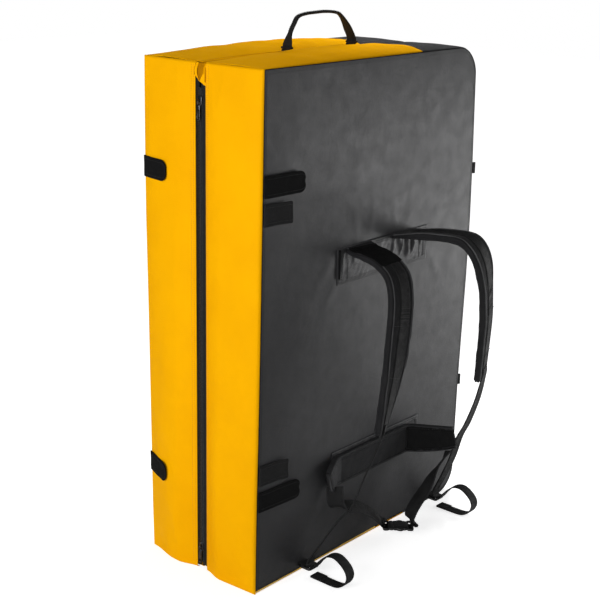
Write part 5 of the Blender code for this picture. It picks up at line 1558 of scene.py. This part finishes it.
def wing_path(way, span, depth, shares, tip, lift):
    """Route of a wing in plan; its height shrinks to the tip, and the tip rises a little."""
    start = BELT_MIDDLE_X + way * (BELT_HALF + 0.0005)
    a, b = np.asarray(shares, float).T
    path = smooth_route(laid(start + way * a * span, BELT_Y - b * depth, BELT_Z), 60)
    past = np.linspace(0, 1, 60) ** 2
    heights = BELT_TALL + (tip - BELT_TALL) * past
    path[:, 2] += (BELT_TALL - heights) * 0.35 + lift * past
    return path, heights


LEFT_WING = (-1, 0.042, 0.012, [(0.0, 0.0), (0.30, 0.10), (0.62, 0.50), (1.0, 1.0)], 0.054, -0.013)
RIGHT_WING = (1, 0.049, 0.094, [(0.0, 0.0), (0.15, 0.03), (0.30, 0.14), (0.50, 0.34), (0.75, 0.64), (1.0, 1.0)],
              0.045, 0.0085)
# The left wing's lighter grey is painted light on its face; the right wing's near-black is painted shade over its
# dark spacer mesh.
left_wing_light_painted = webbing_cloth("left_wing_light_painted", (0.072, 0.072, 0.075), (0.038, 0.038, 0.040), 0.0016)
belt_binding = webbing_cloth("belt_binding", (0.030, 0.030, 0.032), (0.012, 0.012, 0.013), 0.0012)

middle_path = laid(BELT_MIDDLE_X + BELT_HALF * np.linspace(-1, 1, 90), BELT_Y, BELT_Z)
belt_piece("middle", middle_path, np.full(90, BELT_TALL), ["belt_middle"], "carry_half", belt_cloth)
for word, wing, finish in (("left", LEFT_WING, left_wing_light_painted), ("right", RIGHT_WING, right_wing_shade_painted)):
    ends = ((wing[0], 0, 0), None)
    belt_piece(f"{word}_wing", *wing_path(*wing), [f"belt_{word}_wing"], "waist_belt", finish, ends)
print("belt middle and two wings")

# %% [markdown]
# ### Belt webbing
#
# A broad webbing hangs from under each wing and meets at the buckle. Between its two ends
# it twists, because it is sewn upright to the wing and lies flat in the buckle. Its route
# is a smooth curve through a few places, and its width direction turns along a table.


# %% Belt webbing
ALONG = np.array([-0.64945, 0.76041, 0.0])
SIDEWAYS = np.array([0.76041, 0.64945, 0.0])
UPWARD = np.array([0.0, 0.0, 1.0])
MOUTH = np.array([0.03916, -0.11966, 0.0245])
BELT_WEB_WIDTH, BELT_WEB_THICK = 0.035, 0.0020

BELT_WEBS = {
    "left": {
        "sign": 1, "reach": 0.0240,
        "places": [(-0.1310, -0.0955, 0.1640), (-0.1345, -0.1000, 0.1466), (-0.1340, -0.1050, 0.1300),
                   (-0.1200, -0.1100, 0.1195), (-0.0971, -0.1130, 0.1160), (-0.0670, -0.1140, 0.1019),
                   (-0.0299, -0.1120, 0.0768), (0.0020, -0.1060, 0.0500)],
        "across": [(0.0, 0.60, -0.80, 0.0), (0.12, 0.62, -0.78, 0.0), (0.22, 0.50, -0.82, -0.25),
                   (0.31, 0.05, -0.90, -0.42), (0.45, -0.32, -0.80, -0.48), (0.75, -0.45, -0.75, -0.44),
                   (0.93, -0.65, -0.70, -0.20), (1.0, -0.76, -0.65, 0.0)],
    },
    "right": {
        "sign": -1, "reach": 0.0420,
        "places": [(0.1590, -0.1690, 0.1720), (0.1467, -0.1680, 0.1600), (0.1270, -0.1640, 0.1420),
                   (0.1124, -0.1590, 0.1200), (0.0967, -0.1550, 0.0970), (0.0740, -0.1530, 0.0790),
                   (0.0590, -0.1510, 0.0620), (0.0560, -0.1490, 0.0450)],
        "across": [(0.0, -0.45, -0.80, 0.40), (0.10, -0.70, -0.55, 0.42), (0.22, -0.70, -0.60, 0.36),
                   (0.36, -0.45, -0.85, 0.15), (0.50, -0.30, -0.95, 0.0), (0.80, -0.28, -0.95, -0.05),
                   (0.91, -0.45, -0.88, -0.03), (1.0, -0.76, -0.65, 0.0)],
    },
}


def belt_web(word):
    web = BELT_WEBS[word]
    end = MOUTH + web["sign"] * (web["reach"] - 0.0065) * ALONG + 0.0068 * UPWARD
    inward = -web["sign"] * ALONG
    route = np.concatenate([web["places"], [end - inward * 0.009 + 0.0040 * UPWARD, end]])
    path = smooth_route(route, 130)
    across = read_shares(web["across"], np.linspace(0, 1, 130))
    ends = (None, inward)
    piece = band(f"belt_{word}_web", path, across, BELT_WEB_WIDTH, BELT_WEB_THICK, black_webbing, ends=ends)
    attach(piece, "waist_belt")
    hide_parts(f"belt_{word}_webbing")
    across = band_frame(path, across)[1]
    for sign in (-1, 1):
        edge = path + sign * (BELT_WEB_WIDTH / 2 - 0.0016) * across
        name = f"belt_{word}_web_edge_{sign + 1}"
        under(piece, band(name, edge[1:-1], across[1:-1], 0.0024, 0.0028, belt_binding, (2.5, 2.5, 8)))


for word in BELT_WEBS:
    belt_web(word)
print("belt webbings meet over the buckle")

# %% [markdown]
# ### Side-release buckle
#
# The buckle is closed: the male half's two prongs sit inside the female half, and their
# heads show in its side windows. A moulded shell is a rounded profile along the buckle whose
# width and thickness follow tables. Each half ends in a bar round which its webbing goes.


# %% Buckle
def buckle_place(a, b, c):
    """Place from the distances along, sideways and up, from the middle of the mouth."""
    a, b, c = np.broadcast_arrays(np.asarray(a, float), b, c)
    return MOUTH + a[..., None] * ALONG + b[..., None] * SIDEWAYS + c[..., None] * UPWARD


def buckle_shell(name, table):
    """Shell along the buckle from rows of place, width and thickness, all in millimetres."""
    table = np.asarray(table) / 1000
    place = np.linspace(table[0, 0], table[-1, 0], 40)
    widths, thick = (np.interp(place, table[:, 0], table[:, k]) for k in (1, 2))
    return band(name, buckle_place(place, 0, 0), SIDEWAYS, widths, thick, buckle_plastic, (4.5, 2.8, 40))


def slot_frame(name, middle):
    """Rails and bar behind a half: a rounded ring with a slot for the webbing."""
    path = ring_path(buckle_place(middle, 0, 0), ALONG, SIDEWAYS, 0.0058, 0.0185, 6.0)
    return band(name, path, UPWARD, 0.0052, 0.0034, buckle_plastic, (3, 3, 16))


def web_turn(name, bar_at):
    """Webbing round the buckle's bar: a short loop in the plane of the buckle's length and height."""
    turn = np.linspace(math.pi * 1.05, -math.pi * 0.05, 20) + math.pi / 2
    path = buckle_place(bar_at + 0.0050 * np.sin(turn), 0 * turn, 0.0040 * np.cos(turn))
    return band(name, path, SIDEWAYS, 0.0330, 0.0020, black_webbing)


FEMALE_SHELL = [(-30.0, 28, 5.0), (-28.5, 35, 7.0), (-23.0, 38, 8.0), (-20.5, 34, 8.0),
                (-9.0, 33, 8.2), (-6.0, 38, 8.2), (-1.0, 38, 8.0), (-0.2, 35, 6.6)]
MALE_SHELL = [(0.2, 35, 6.6), (1.5, 38, 8.0), (6.0, 38, 8.2), (8.5, 36, 7.0), (10.0, 29, 5.4)]

female_parts = [buckle_shell("female_shell", FEMALE_SHELL), slot_frame("female_frame", -0.0350)]
for sign in (-1, 1):
    swell = np.sin(np.linspace(0, math.pi, 12))
    ridge = buckle_place(np.linspace(-0.024, -0.006, 12), sign * 0.0085, 0.0036 + 0.0006 * swell)
    name = f"female_ridge_{sign + 1}"
    female_parts.append(band(name, ridge, SIDEWAYS, 0.0020, 0.0016, buckle_plastic, (2.5, 2.5, 10)))
female = joined("buckle_female_cast", female_parts)
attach(female, "buckle_release")
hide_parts("buckle_female")
under(female, web_turn("buckle_female_web", -0.0358))

male_parts = [buckle_shell("male_shell", MALE_SHELL), slot_frame("male_frame", 0.0155)]
for sign in (-1, 1):
    share = np.linspace(0, 1, 16)
    prong = buckle_place(0.001 - 0.021 * share, sign * (0.0135 + 0.0048 * np.sin(share * math.pi * 0.72) ** 2), 0)
    broad = 0.0042 + 0.0034 * np.exp(-(((share - 0.74) / 0.16) ** 2))
    male_parts.append(band(f"male_prong_{sign + 1}", prong, SIDEWAYS, broad, 0.0062, buckle_plastic, (3, 4, 14)))
male = joined("buckle_male_cast", male_parts)
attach(male, "waist_belt")
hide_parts("buckle_male")
under(male, web_turn("buckle_male_web", 0.0163))
print("closed side-release buckle")

# %% [markdown]
# ## Hook tabs and loop patches
#
# Four tabs of hook tape close the folded pad over the zip: two lie on the dark panel and
# two on the yellow side. They lie on the cloth, lift a little at their free ends, and their
# ends are cut round. Loop tape waits under or beside them. A tab is a grid whose rows
# shorten towards the round end.


# %% Tabs
TAB_TALL, TAB_THICK, TAB_ROUND = 0.040, 0.0018, 0.014
PANEL_ROOT, SIDE_ROOT = 0.0050, 0.0025  # from the seam to the sewn end
PANEL_LIFT, SIDE_LIFT = 0.0022, 0.0014  # of a tab's inner face over the cloth


def tab_grid(length, corner, height):
    """Shares of length, shares of half height and heights; the end is cut by two quarter circles."""
    turn = np.sin(np.linspace(0, math.pi / 2, 10))
    start = (length - corner) / length
    share = np.concatenate([np.linspace(0, start, 17)[:-1], start + (1 - start) * turn])[:, None]
    past = np.clip(share * length - (length - corner), 0, corner)
    half = TAB_TALL / 2 - corner + np.sqrt(np.maximum(corner**2 - past**2, 0))
    line = np.linspace(-1, 1, 15)[None, :]
    return share, line, height + half * line


def panel_tab(word, kind, height, length, corner, finish, lift, body):
    """Tab on the carry half's outer panel, sewn in the near seam."""
    share, line, z = tab_grid(length, corner, height)
    x = ZIP_X + PANEL_ROOT + share * (length - PANEL_ROOT) + 0 * line
    rest = panel_out(x, z, "carry") - roll_depth(seam_distance(x, z), EDGE_ROUND) * 0.5
    free = lift * smooth_step(share, 0.55, 1.0)
    curl = 0.0009 * line**2 * smooth_step(share, 0.2, 0.9)
    out = rest + PANEL_LIFT + TAB_THICK + free + curl + 0.0004 * waviness(x, z, int(height * 1000), 0.03, 1)
    points = foam_swell(laid(x, FRONT - out, z))
    piece = cloth_grid(f"panel_{kind}_{word}", points, finish, (0, -1, 0), wall=TAB_THICK, flat=laid(x, z))
    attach(piece, body)
    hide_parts(f"panel_{'hook_tab' if kind == 'hook' else 'loop_patch'}_{word}")
    return piece, points


def side_tab(word, height):
    """Tab sewn in the far seam, lying on the yellow side of the far half."""
    length = 0.070
    share, line, z = tab_grid(length, TAB_ROUND, height)
    reach = SIDE_ROOT + share * length + 0 * line
    across = np.clip(reach / (HALF_DEPTH - HEM), 0, 1)
    rest = zip_side_out(across, z) - roll_depth(reach, EDGE_ROUND) * 0.6
    free = 0.0022 * smooth_step(share, 0.6, 1.0)
    out = rest + SIDE_LIFT + TAB_THICK + free + 0.0004 * waviness(reach, z, int(height * 1000) + 7, 0.03, 1)
    points = foam_swell(laid(ZIP_X - out, seam_plane(FAR) - reach, z))
    piece = cloth_grid(f"side_hook_{word}", points, hook_tape, (-1, 0, 0), wall=TAB_THICK, flat=laid(reach, z))
    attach(piece, f"side_tab_{word}")
    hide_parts(f"side_hook_tab_{word}")
    return piece, points


def edge_stitches(name, points, outward, parent):
    """Stitches round a grid piece, two rows and columns inside its border."""
    inner = points[1:-2, 2:-2]
    loop = np.concatenate([inner[:, 0], inner[-1, 1:], inner[::-1, -1][1:]])
    line = loop + 0.0002 * np.asarray(outward, float)
    under(parent, stitch_line(name, line, outward, black_thread, 0.0036, 0.0026, 0.00032))


for word, hook, loop in (("upper", 0.794, 0.743), ("lower", 0.192, 0.245)):
    piece, points = panel_tab(word, "hook", hook, 0.104, TAB_ROUND, hook_tape, 0.0020, f"panel_tab_{word}")
    edge_stitches(f"panel_hook_{word}_stitches", points, (0, -1, 0), piece)
    piece, points = panel_tab(word, "loop", loop, 0.068, 0.003, loop_tape, 0.0050, "carry_half")
    edge_stitches(f"panel_loop_{word}_stitches", points, (0, -1, 0), piece)
    piece, points = side_tab(word, hook)
    edge_stitches(f"side_hook_{word}_stitches", points, (-1, 0, 0), piece)
print("six tabs with stitched edges")

# %% [markdown]
# ## Patches behind the harness
#
# The straps and the belt are not sewn through the cover alone: a doubled patch of the same
# cloth takes the load. Where the straps enter it the cloth is gathered, and boxes of
# stitches hold its ends. A patch is one more grid over the panel, with its own ridges.


# %% Root patches
STRAP_PATCH = (-0.123, 0.167, 0.575, 0.647)
BELT_PATCH = (-0.123, 0.167, 0.1525, 0.2285)


def ridges(x, z, table):
    """Sum of nearly upright ridges: each has a place at its top, a half width, a bottom, a top and a height."""
    total = np.zeros(np.broadcast(x, z).shape)
    for k, (place, half, low, high, rise) in enumerate(table):
        lean = 0.24 * math.sin(2.4 * k + 0.5)
        inside = smooth_step(z, low, low + 0.018) * (1 - smooth_step(z, high - 0.008, high))
        total = total + rise * np.exp(-(((x - place - lean * (z - high)) / half) ** 2)) * inside
    return total


STRAP_RIDGES = [
    (-0.108, 0.0060, 0.590, 0.645, 0.0024), (-0.094, 0.0040, 0.612, 0.643, 0.0016),
    (-0.078, 0.0070, 0.600, 0.643, 0.0018), (-0.058, 0.0040, 0.612, 0.643, 0.0010),
    (-0.032, 0.0060, 0.612, 0.643, 0.0010), (0.010, 0.0060, 0.606, 0.643, 0.0010),
    (0.055, 0.0050, 0.598, 0.645, 0.0028), (0.069, 0.0062, 0.606, 0.645, 0.0036),
    (0.083, 0.0036, 0.594, 0.645, 0.0028), (0.098, 0.0070, 0.586, 0.645, 0.0052),
    (0.112, 0.0032, 0.606, 0.645, 0.0026), (0.124, 0.0056, 0.588, 0.645, 0.0046),
    (0.140, 0.0042, 0.602, 0.642, 0.0024),
]
BELT_RIDGES = [(-0.112, 0.004, 0.158, 0.222, 0.0010), (0.150, 0.004, 0.160, 0.222, 0.0010)]
STRAP_SEED, BELT_SEED = 91, 92
PATCH_RIDGES = {STRAP_SEED: STRAP_RIDGES, BELT_SEED: BELT_RIDGES}


def patch_points(x, z, table, seed):
    """Patch over the flat middle of the panel: its cloth, its ridges and a little unevenness."""
    low_x, high_x, low_z, high_z = table
    edge = np.minimum(np.minimum(x - low_x, high_x - x), np.minimum(z - low_z, high_z - z))
    rise = ridges(x, z, PATCH_RIDGES[seed]) + 0.0006 * (1 + waviness(x, z, seed, 0.025, 2))
    out = 0.0016 + smooth_step(edge, 0.001, 0.007) * rise
    return foam_swell(laid(x, PLATEAU - 0.0004 - out, z))


def root_patch(word, table, seed):
    low_x, high_x, low_z, high_z = table
    x = np.linspace(low_x, high_x, 190)[None, :]
    z = np.linspace(low_z, high_z, 44)[:, None]
    points = patch_points(x, z, table, seed)
    piece = cloth_grid(f"{word}_patch_cloth", points, dark_cloth, (0, -1, 0), flat=laid(x, z))
    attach(piece, "carry_half")
    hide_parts(f"{word}_root_patch")
    lines = []
    for k, inset in enumerate((0.004, 0.0085)):
        a = np.array([low_x + inset, high_x - inset, high_x - inset, low_x + inset, low_x + inset])
        b = np.array([low_z + inset, low_z + inset, high_z - inset, high_z - inset, low_z + inset])
        share = np.linspace(0, 4, 280)
        x_line, z_line = np.interp(share, range(5), a), np.interp(share, range(5), b)
        border = patch_points(x_line, z_line, table, seed) - (0, 0.0004, 0)
        lines.append(stitch_line(f"{word}_patch_border_{k}", border, (0, -1, 0)))
    for k, place in enumerate((low_x + 0.013, low_x + 0.030, high_x - 0.013, high_x - 0.026)):
        z_line = np.linspace(low_z + 0.009, high_z - 0.009, 60)
        points = patch_points(np.full(60, place), z_line, table, seed) - (0, 0.0005, 0)
        lines.append(stitch_line(f"{word}_patch_bar_{k}", points, (0, -1, 0), black_thread, 0.0034, 0.0029, 0.0006))
    under(piece, *lines)
    return piece


# The last lines lay a near-black cord at the strap patch's open end, as painted shade of the slit there.
strap_patch = root_patch("strap", STRAP_PATCH, STRAP_SEED)
root_patch("belt", BELT_PATCH, BELT_SEED)
z_line = np.linspace(0.588, 0.645, 30)
lip = laid(-0.1195, PLATEAU - 0.0042, z_line)
under(strap_patch, band("strap_patch_slit_shade_painted", lip, (1, 0, 0), 0.0032, 0.0034, shade_painted_black_cloth, (2.5, 2.5, 12)))
print("two root patches with gathers and stitch boxes")

# %% [markdown]
# ## Carry handle
#
# The handle is one length of webbing: flat legs that are sewn into the crease, and a grip
# where the webbing is folded along its length and stitched. Width and thickness therefore
# change along it, and so does the sag.


# %% Carry handle
HANDLE_SHARES = [(0, 0), (0.035, 0.33), (0.085, 0.63), (0.15, 0.88), (0.265, 0.965), (0.40, 0.99), (0.55, 1.0),
                 (0.70, 0.965), (0.80, 0.87), (0.88, 0.62), (0.94, 0.34), (1, 0)]
HANDLE_Y, HANDLE_FOOT_Z = 0.0598, 1.0203
HANDLE_START_X, HANDLE_SPAN, HANDLE_RISE = -0.117, 0.192, 0.0545
share, rise = np.asarray(HANDLE_SHARES, float).T
places = laid(HANDLE_START_X + HANDLE_SPAN * share, HANDLE_Y, HANDLE_FOOT_Z + rise * HANDLE_RISE)
feet = np.array([[-0.0012, 0.0035, -0.0180], [-0.0004, 0.0, -0.0080]])
places = np.concatenate([places[:1] + feet, places, (places[-1:] + feet * (-1, 1, 1))[::-1]])
handle_path = smooth_route(places, 190)
step = np.linspace(0, 1, 190)
inward = np.interp(step, (0.05, 0.15, 0.70, 0.88), (0, 1, 1, 0))
grip_width = 0.0235 + (0.0110 - 0.0235) * smooth_step(inward, 0, 1)
grip_thick = 0.0022 + (0.0058 - 0.0022) * smooth_step(inward, 0, 1)
handle_path[:, 1] += 0.0006 * waviness(step, step, 14, 0.2, 2)
profile = (1 - inward[:, None, None]) * flat_profile()[None] + inward[:, None, None] * unit(flat_profile())[None]
handle = band("handle_web", handle_path, (0, 1, 0), grip_width, grip_thick, black_webbing, profile)
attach(handle, "handle")
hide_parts("carry_handle")
_, across, outward = band_frame(handle_path, (0, 1, 0))
outward = outward if outward[95, 2] > 0 else -outward
rows = []
for sign in (-1, 1):
    for word, keep, inset in (("grip", inward > 0.9, 0.0022), ("last_leg", (step > 0.84) & (step < 0.96), 0.0030)):
        edge = handle_path + sign * (grip_width / 2 - inset)[:, None] * across + (grip_thick / 2)[:, None] * outward
        name = f"handle_{word}_row_{sign + 1}"
        rows.append(stitch_line(name, edge[keep], outward[keep], tack_thread, 0.0040, 0.0030))
under(handle, *rows)
for word, x in (("first", places[0, 0]), ("last", places[-1, 0])):
    line = np.linspace(0, 1, 14)
    turn_in = laid(x, HANDLE_Y - 0.0125 + 0.025 * line, 1.0125 + 0.0012 * np.sin(math.pi * line))
    fold = band(f"handle_{word}_seam_fold", turn_in, (1, 0, 0), 0.0075, 0.0040, binding_cloth, (3, 2.5, 16))
    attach(fold, "carry_half")
print("handle of", round(float(walked_along(handle_path)[-1]), 3), "m of webbing")

# %% [markdown]
# ## Fold hinge and loops at the fold side
#
# Along the fold the two halves hang together by a doubled strip of cloth. It is split at
# the hinge line, so that each half keeps its own leaf when the pad opens. Two small
# webbing loops stick out of the seam of the carry half there.


# %% Hinge leaves and seam loops
HINGE_LOW, HINGE_TALL = 0.064, 0.872


def hinge_leaf(prefix):
    """Leaf from the hinge line to 30 mm into the fold side, a little proud of it."""
    side, body = HALVES[prefix]
    reach = 0.0003 + seam_spaced(0.0295, 0.004, 0.0015)[None, :]
    z = HINGE_LOW + seam_spaced(HINGE_TALL, 0.008, 0.0015)[:, None]
    across = HALF_DEPTH - reach
    along = STRAIGHT + ARC + (HEIGHT - CORNER_RADIUS - z)
    strip, _ = rim_points(prefix, along, np.minimum(across, RIM_SPAN))
    proud = 0.0014 + 0.0032 * np.exp(-((reach / 0.009) ** 2)) + 0.0003 * waviness(reach, z, 17 + side, 0.05, 2)
    points = strip + proud[:, :, None] * np.array([1.0, 0, 0])
    points[:, :, 1] = SPLIT + side * reach
    points[:, :, 0] = np.minimum(points[:, :, 0], HINGE_X - 0.0010)
    piece = cloth_grid(f"{prefix}_hinge_cloth", points, binding_cloth, (1, 0, 0), wall=0.0012,
                       flat=laid(side * reach, z))
    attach(piece, body)
    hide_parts(f"{prefix}_hinge_leaf")
    rows = [stitch_line(f"{prefix}_hinge_row_{k}", points[:, column] + (0.0001, 0, 0), (1, 0, 0))
            for k, column in enumerate((-6, -8))]
    under(piece, *rows)


def seam_loop(word, tuck):
    """Loop of webbing folded in half, its two ends in the seam; tuck draws it in from the node's reach."""
    low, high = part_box(f"fold_side_tab_{word}")
    z = (low[2] + high[2]) / 2
    y = (low[1] + high[1]) / 2
    turn = np.linspace(math.pi / 2, -math.pi / 2, 12)
    tip = laid(high[0] - tuck + 0.0014 * np.cos(turn), y - 0.0006 - 0.0014 * np.sin(turn))
    ends = low[0] + np.array([-0.003, 0.002])
    route = np.concatenate([laid(ends, (y + 0.0004, y - 0.0016)), tip, laid(ends[::-1], (y + 0.0010, y + 0.0012))])
    path = foam_swell(smooth_route(laid(*route.T, z), 50))
    loop = band(f"fold_side_loop_{word}", path, (0, 0, 1), 0.024, 0.0013, black_webbing)
    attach(loop, "carry_half")
    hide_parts(f"fold_side_tab_{word}")


for prefix in HALVES:
    hinge_leaf(prefix)
for word, tuck in (("upper", 0.0034), ("lower", 0.0046)):
    seam_loop(word, tuck)
print("hinge leaves and seam loops")

# %% [markdown]
# ## Topstitching on the cover
#
# Every seam of the cover is sewn down beside the joint: black thread on the dark cloth and
# yellow thread on the yellow cloth. Each row follows the surface that it lies on, because
# its places come from the same functions as the cloth.


# %% Topstitching
def outline_path(inset, count=520):
    """Path round the panel at a constant distance from its edge: four straights and two quarter circles."""
    radius = CORNER_RADIUS - inset
    turn = np.linspace(0, math.pi / 2, 16)
    right = FOLD_X - CORNER_RADIUS
    top = laid(right + radius * np.sin(turn), HEIGHT - CORNER_RADIUS + radius * np.cos(turn))
    bottom = laid(right + radius * np.cos(turn), CORNER_RADIUS - radius * np.sin(turn))
    first = np.array([[ZIP_X + inset, inset], [ZIP_X + inset, HEIGHT - inset]])
    route = np.concatenate([first, top, bottom, first[:1]])
    walked = walked_along(route)
    return read_at(walked, route, np.linspace(0, walked[-1], count)).T


def cover_stitches(prefix, panel, zip_cloth, top_cloth):
    """Row beside the panel's seam and a near-black cord in it as painted shade of the seam's groove, two rows on
    the hem and one at the crease.

    Along the bottom the yellow strip turns up over the edge; there it is drawn in a paler yellow, painted light for
    the light that the floor throws up on it.
    """
    side = HALVES[prefix][0]
    x, z = outline_path(EDGE_ROUND + 0.0002, 700)
    out = seam_plane(side) + side * (panel_out(x, z, prefix) + 0.0001)
    route = foam_swell(laid(x, out, seam_raised(z)))
    # Near-black cord in the seam: painted shade of its groove.
    under(panel, band(f"{prefix}_seam_shade_painted_cord", route, (0, side, 0), 0.0017, 0.0017, shade_painted_black_cloth, (2, 2, 8)))
    x = np.linspace(ZIP_X + 0.004, COLOUR_JOINT_X - 0.100, 120)
    turned = foam_swell(laid(x, seam_plane(side) - side * 0.0008, 0.0046 + 0.0014 * smooth_step(x, -0.13, -0.04)))
    # The paler yellow of this strip is painted bounce light from the floor.
    edge = band(f"{prefix}_bottom_turn", turned, (0, 0, 1), 0.0050, 0.0034, bounce_painted_yellow_cloth, (2.4, 2.4, 12))
    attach(edge, HALVES[prefix][1])
    x, z = outline_path(EDGE_ROUND + 0.0050)
    points = foam_swell(laid(x, seam_plane(side) + side * (panel_out(x, z, prefix) + 0.0002), z))
    under(panel, stitch_line(f"{prefix}_panel_row", points, (0, side, 0)))
    rows = []
    height = np.linspace(0.012, HEIGHT - 0.004, 400)
    length = HALF_DEPTH - HEM
    for k, across in enumerate((length - 0.0035, length - 0.0085)):
        line = zip_side_points(prefix, np.full(400, across), height) - (0.0002, 0, 0)
        rows.append(stitch_line(f"{prefix}_hem_row_{k}", line, (-1, 0, 0), yellow_thread))
    under(zip_cloth, *rows)
    along = np.linspace(EDGE_ROUND + 0.003, JOINT - 0.004, 200)
    line, _ = rim_points(prefix, along, np.full(200, HALF_DEPTH - 0.0075))
    under(top_cloth, stitch_line(f"{prefix}_crease_row", line + (0, 0, 0.0002), (0, 0, 1), yellow_thread))


for prefix, *cloths in zip(HALVES, outer_cloths, side_cloths, rim_cloths[::len(RIM_CUTS)]):
    cover_stitches(prefix, *cloths)
print("topstitching on both halves")

# %% [markdown]
# ## Floor and light
#
# The photograph was taken on white, with a large soft light on the left. Two weaker lamps
# stand on the right: a low one gives the dark panel its sheen, and a high one lights the
# top. The floor is plain and nearly white, and keeps a faint shadow under the pad. It glows
# more to the camera far from the pad, where it passes into the white world behind.


# %% Floor and light
def stage_floor():
    """Plain sheet a hair below the pad: it takes shadows, and glows a little to the camera."""
    points = np.array([(-9, -9, 0), (9, -9, 0), (9, 9, 0), (-9, 9, 0)], float) - (0, 0, 0.0004)
    finish = bpy.data.materials.new("pale_floor")
    finish.use_nodes = True
    tree = finish.node_tree
    shader = tree.nodes["Principled BSDF"]
    wire(tree, shader, {"Base Color": (0.80, 0.80, 0.80, 1), "Roughness": 0.9, "Specular IOR Level": 0.0})
    rays = join_node(tree, "ShaderNodeLightPath", {})
    place = join_node(tree, "ShaderNodeTexCoord", {})
    away = join_node(tree, "ShaderNodeVectorMath", {0: place.outputs["Object"]}, operation="LENGTH")
    fade = join_node(tree, "ShaderNodeMapRange", {"Value": away.outputs["Value"], "From Min": 0.8, "From Max": 2.0,
                                                  "To Min": FLOOR_GLOW, "To Max": 1.0})
    strength = work_out(tree, "MULTIPLY", rays.outputs["Is Camera Ray"], fade.outputs["Result"])
    glow = join_node(tree, "ShaderNodeEmission", {"Color": (1, 1, 1, 1), "Strength": strength})
    both = join_node(tree, "ShaderNodeAddShader", {0: shader.outputs[0], 1: glow.outputs[0]})
    tree.links.new(both.outputs[0], tree.nodes["Material Output"].inputs["Surface"])
    floor = make_piece("floor", points, [[0, 1, 2, 3]], None, finish, smooth=False)


def soft_light(name, place, aim, size, power):
    """Square area lamp at a place, turned towards its aim."""
    data = bpy.data.lights.new(name, "AREA")
    data.shape = "SQUARE"
    data.size, data.energy = size, power
    lamp = bpy.data.objects.new(name, data)
    lamp.rotation_euler = (Vector(aim) - Vector(place)).to_track_quat("-Z", "Y").to_euler()
    lamp.location = place
    bpy.context.scene.collection.objects.link(lamp)
    return lamp


def white_world():
    """White to the camera, a weaker soft light to everything else."""
    world = bpy.data.worlds.new("studio")
    world.use_nodes = True
    tree = world.node_tree
    tree.nodes.clear()
    rays = join_node(tree, "ShaderNodeLightPath", {})
    seen_rays = work_out(tree, "MAXIMUM", rays.outputs["Is Camera Ray"], rays.outputs["Is Transmission Ray"])
    lit = join_node(tree, "ShaderNodeBackground", {"Color": (1, 1, 1, 1), "Strength": WORLD_LIGHT})
    seen = join_node(tree, "ShaderNodeBackground", {"Color": (1, 1, 1, 1), "Strength": 1.0})
    mixed = join_node(tree, "ShaderNodeMixShader", {0: seen_rays, 1: lit.outputs[0], 2: seen.outputs[0]})
    out = tree.nodes.new("ShaderNodeOutputWorld")
    tree.links.new(mixed.outputs[0], out.inputs[0])
    bpy.context.scene.world = world


FLOOR_GLOW = 0.70  # to the camera, close to the pad
WORLD_LIGHT = 0.145
stage_floor()
white_world()
soft_light("key_left", (-3.3, -0.5, 1.30), (-0.3, 0.05, 0.68), 2.0, 85)
soft_light("low_right", (1.35, -0.78, 0.45), (0.20, -0.08, 0.60), 0.75, 9.5)
above = soft_light("above_right", (0.86, 0.42, 1.48), (0.27, 0, 1.0), 0.5, 18)
above.visible_glossy = False
above.visible_camera = False
bpy.context.scene.view_settings.view_transform = "Standard"
print("floor, world and three lamps")
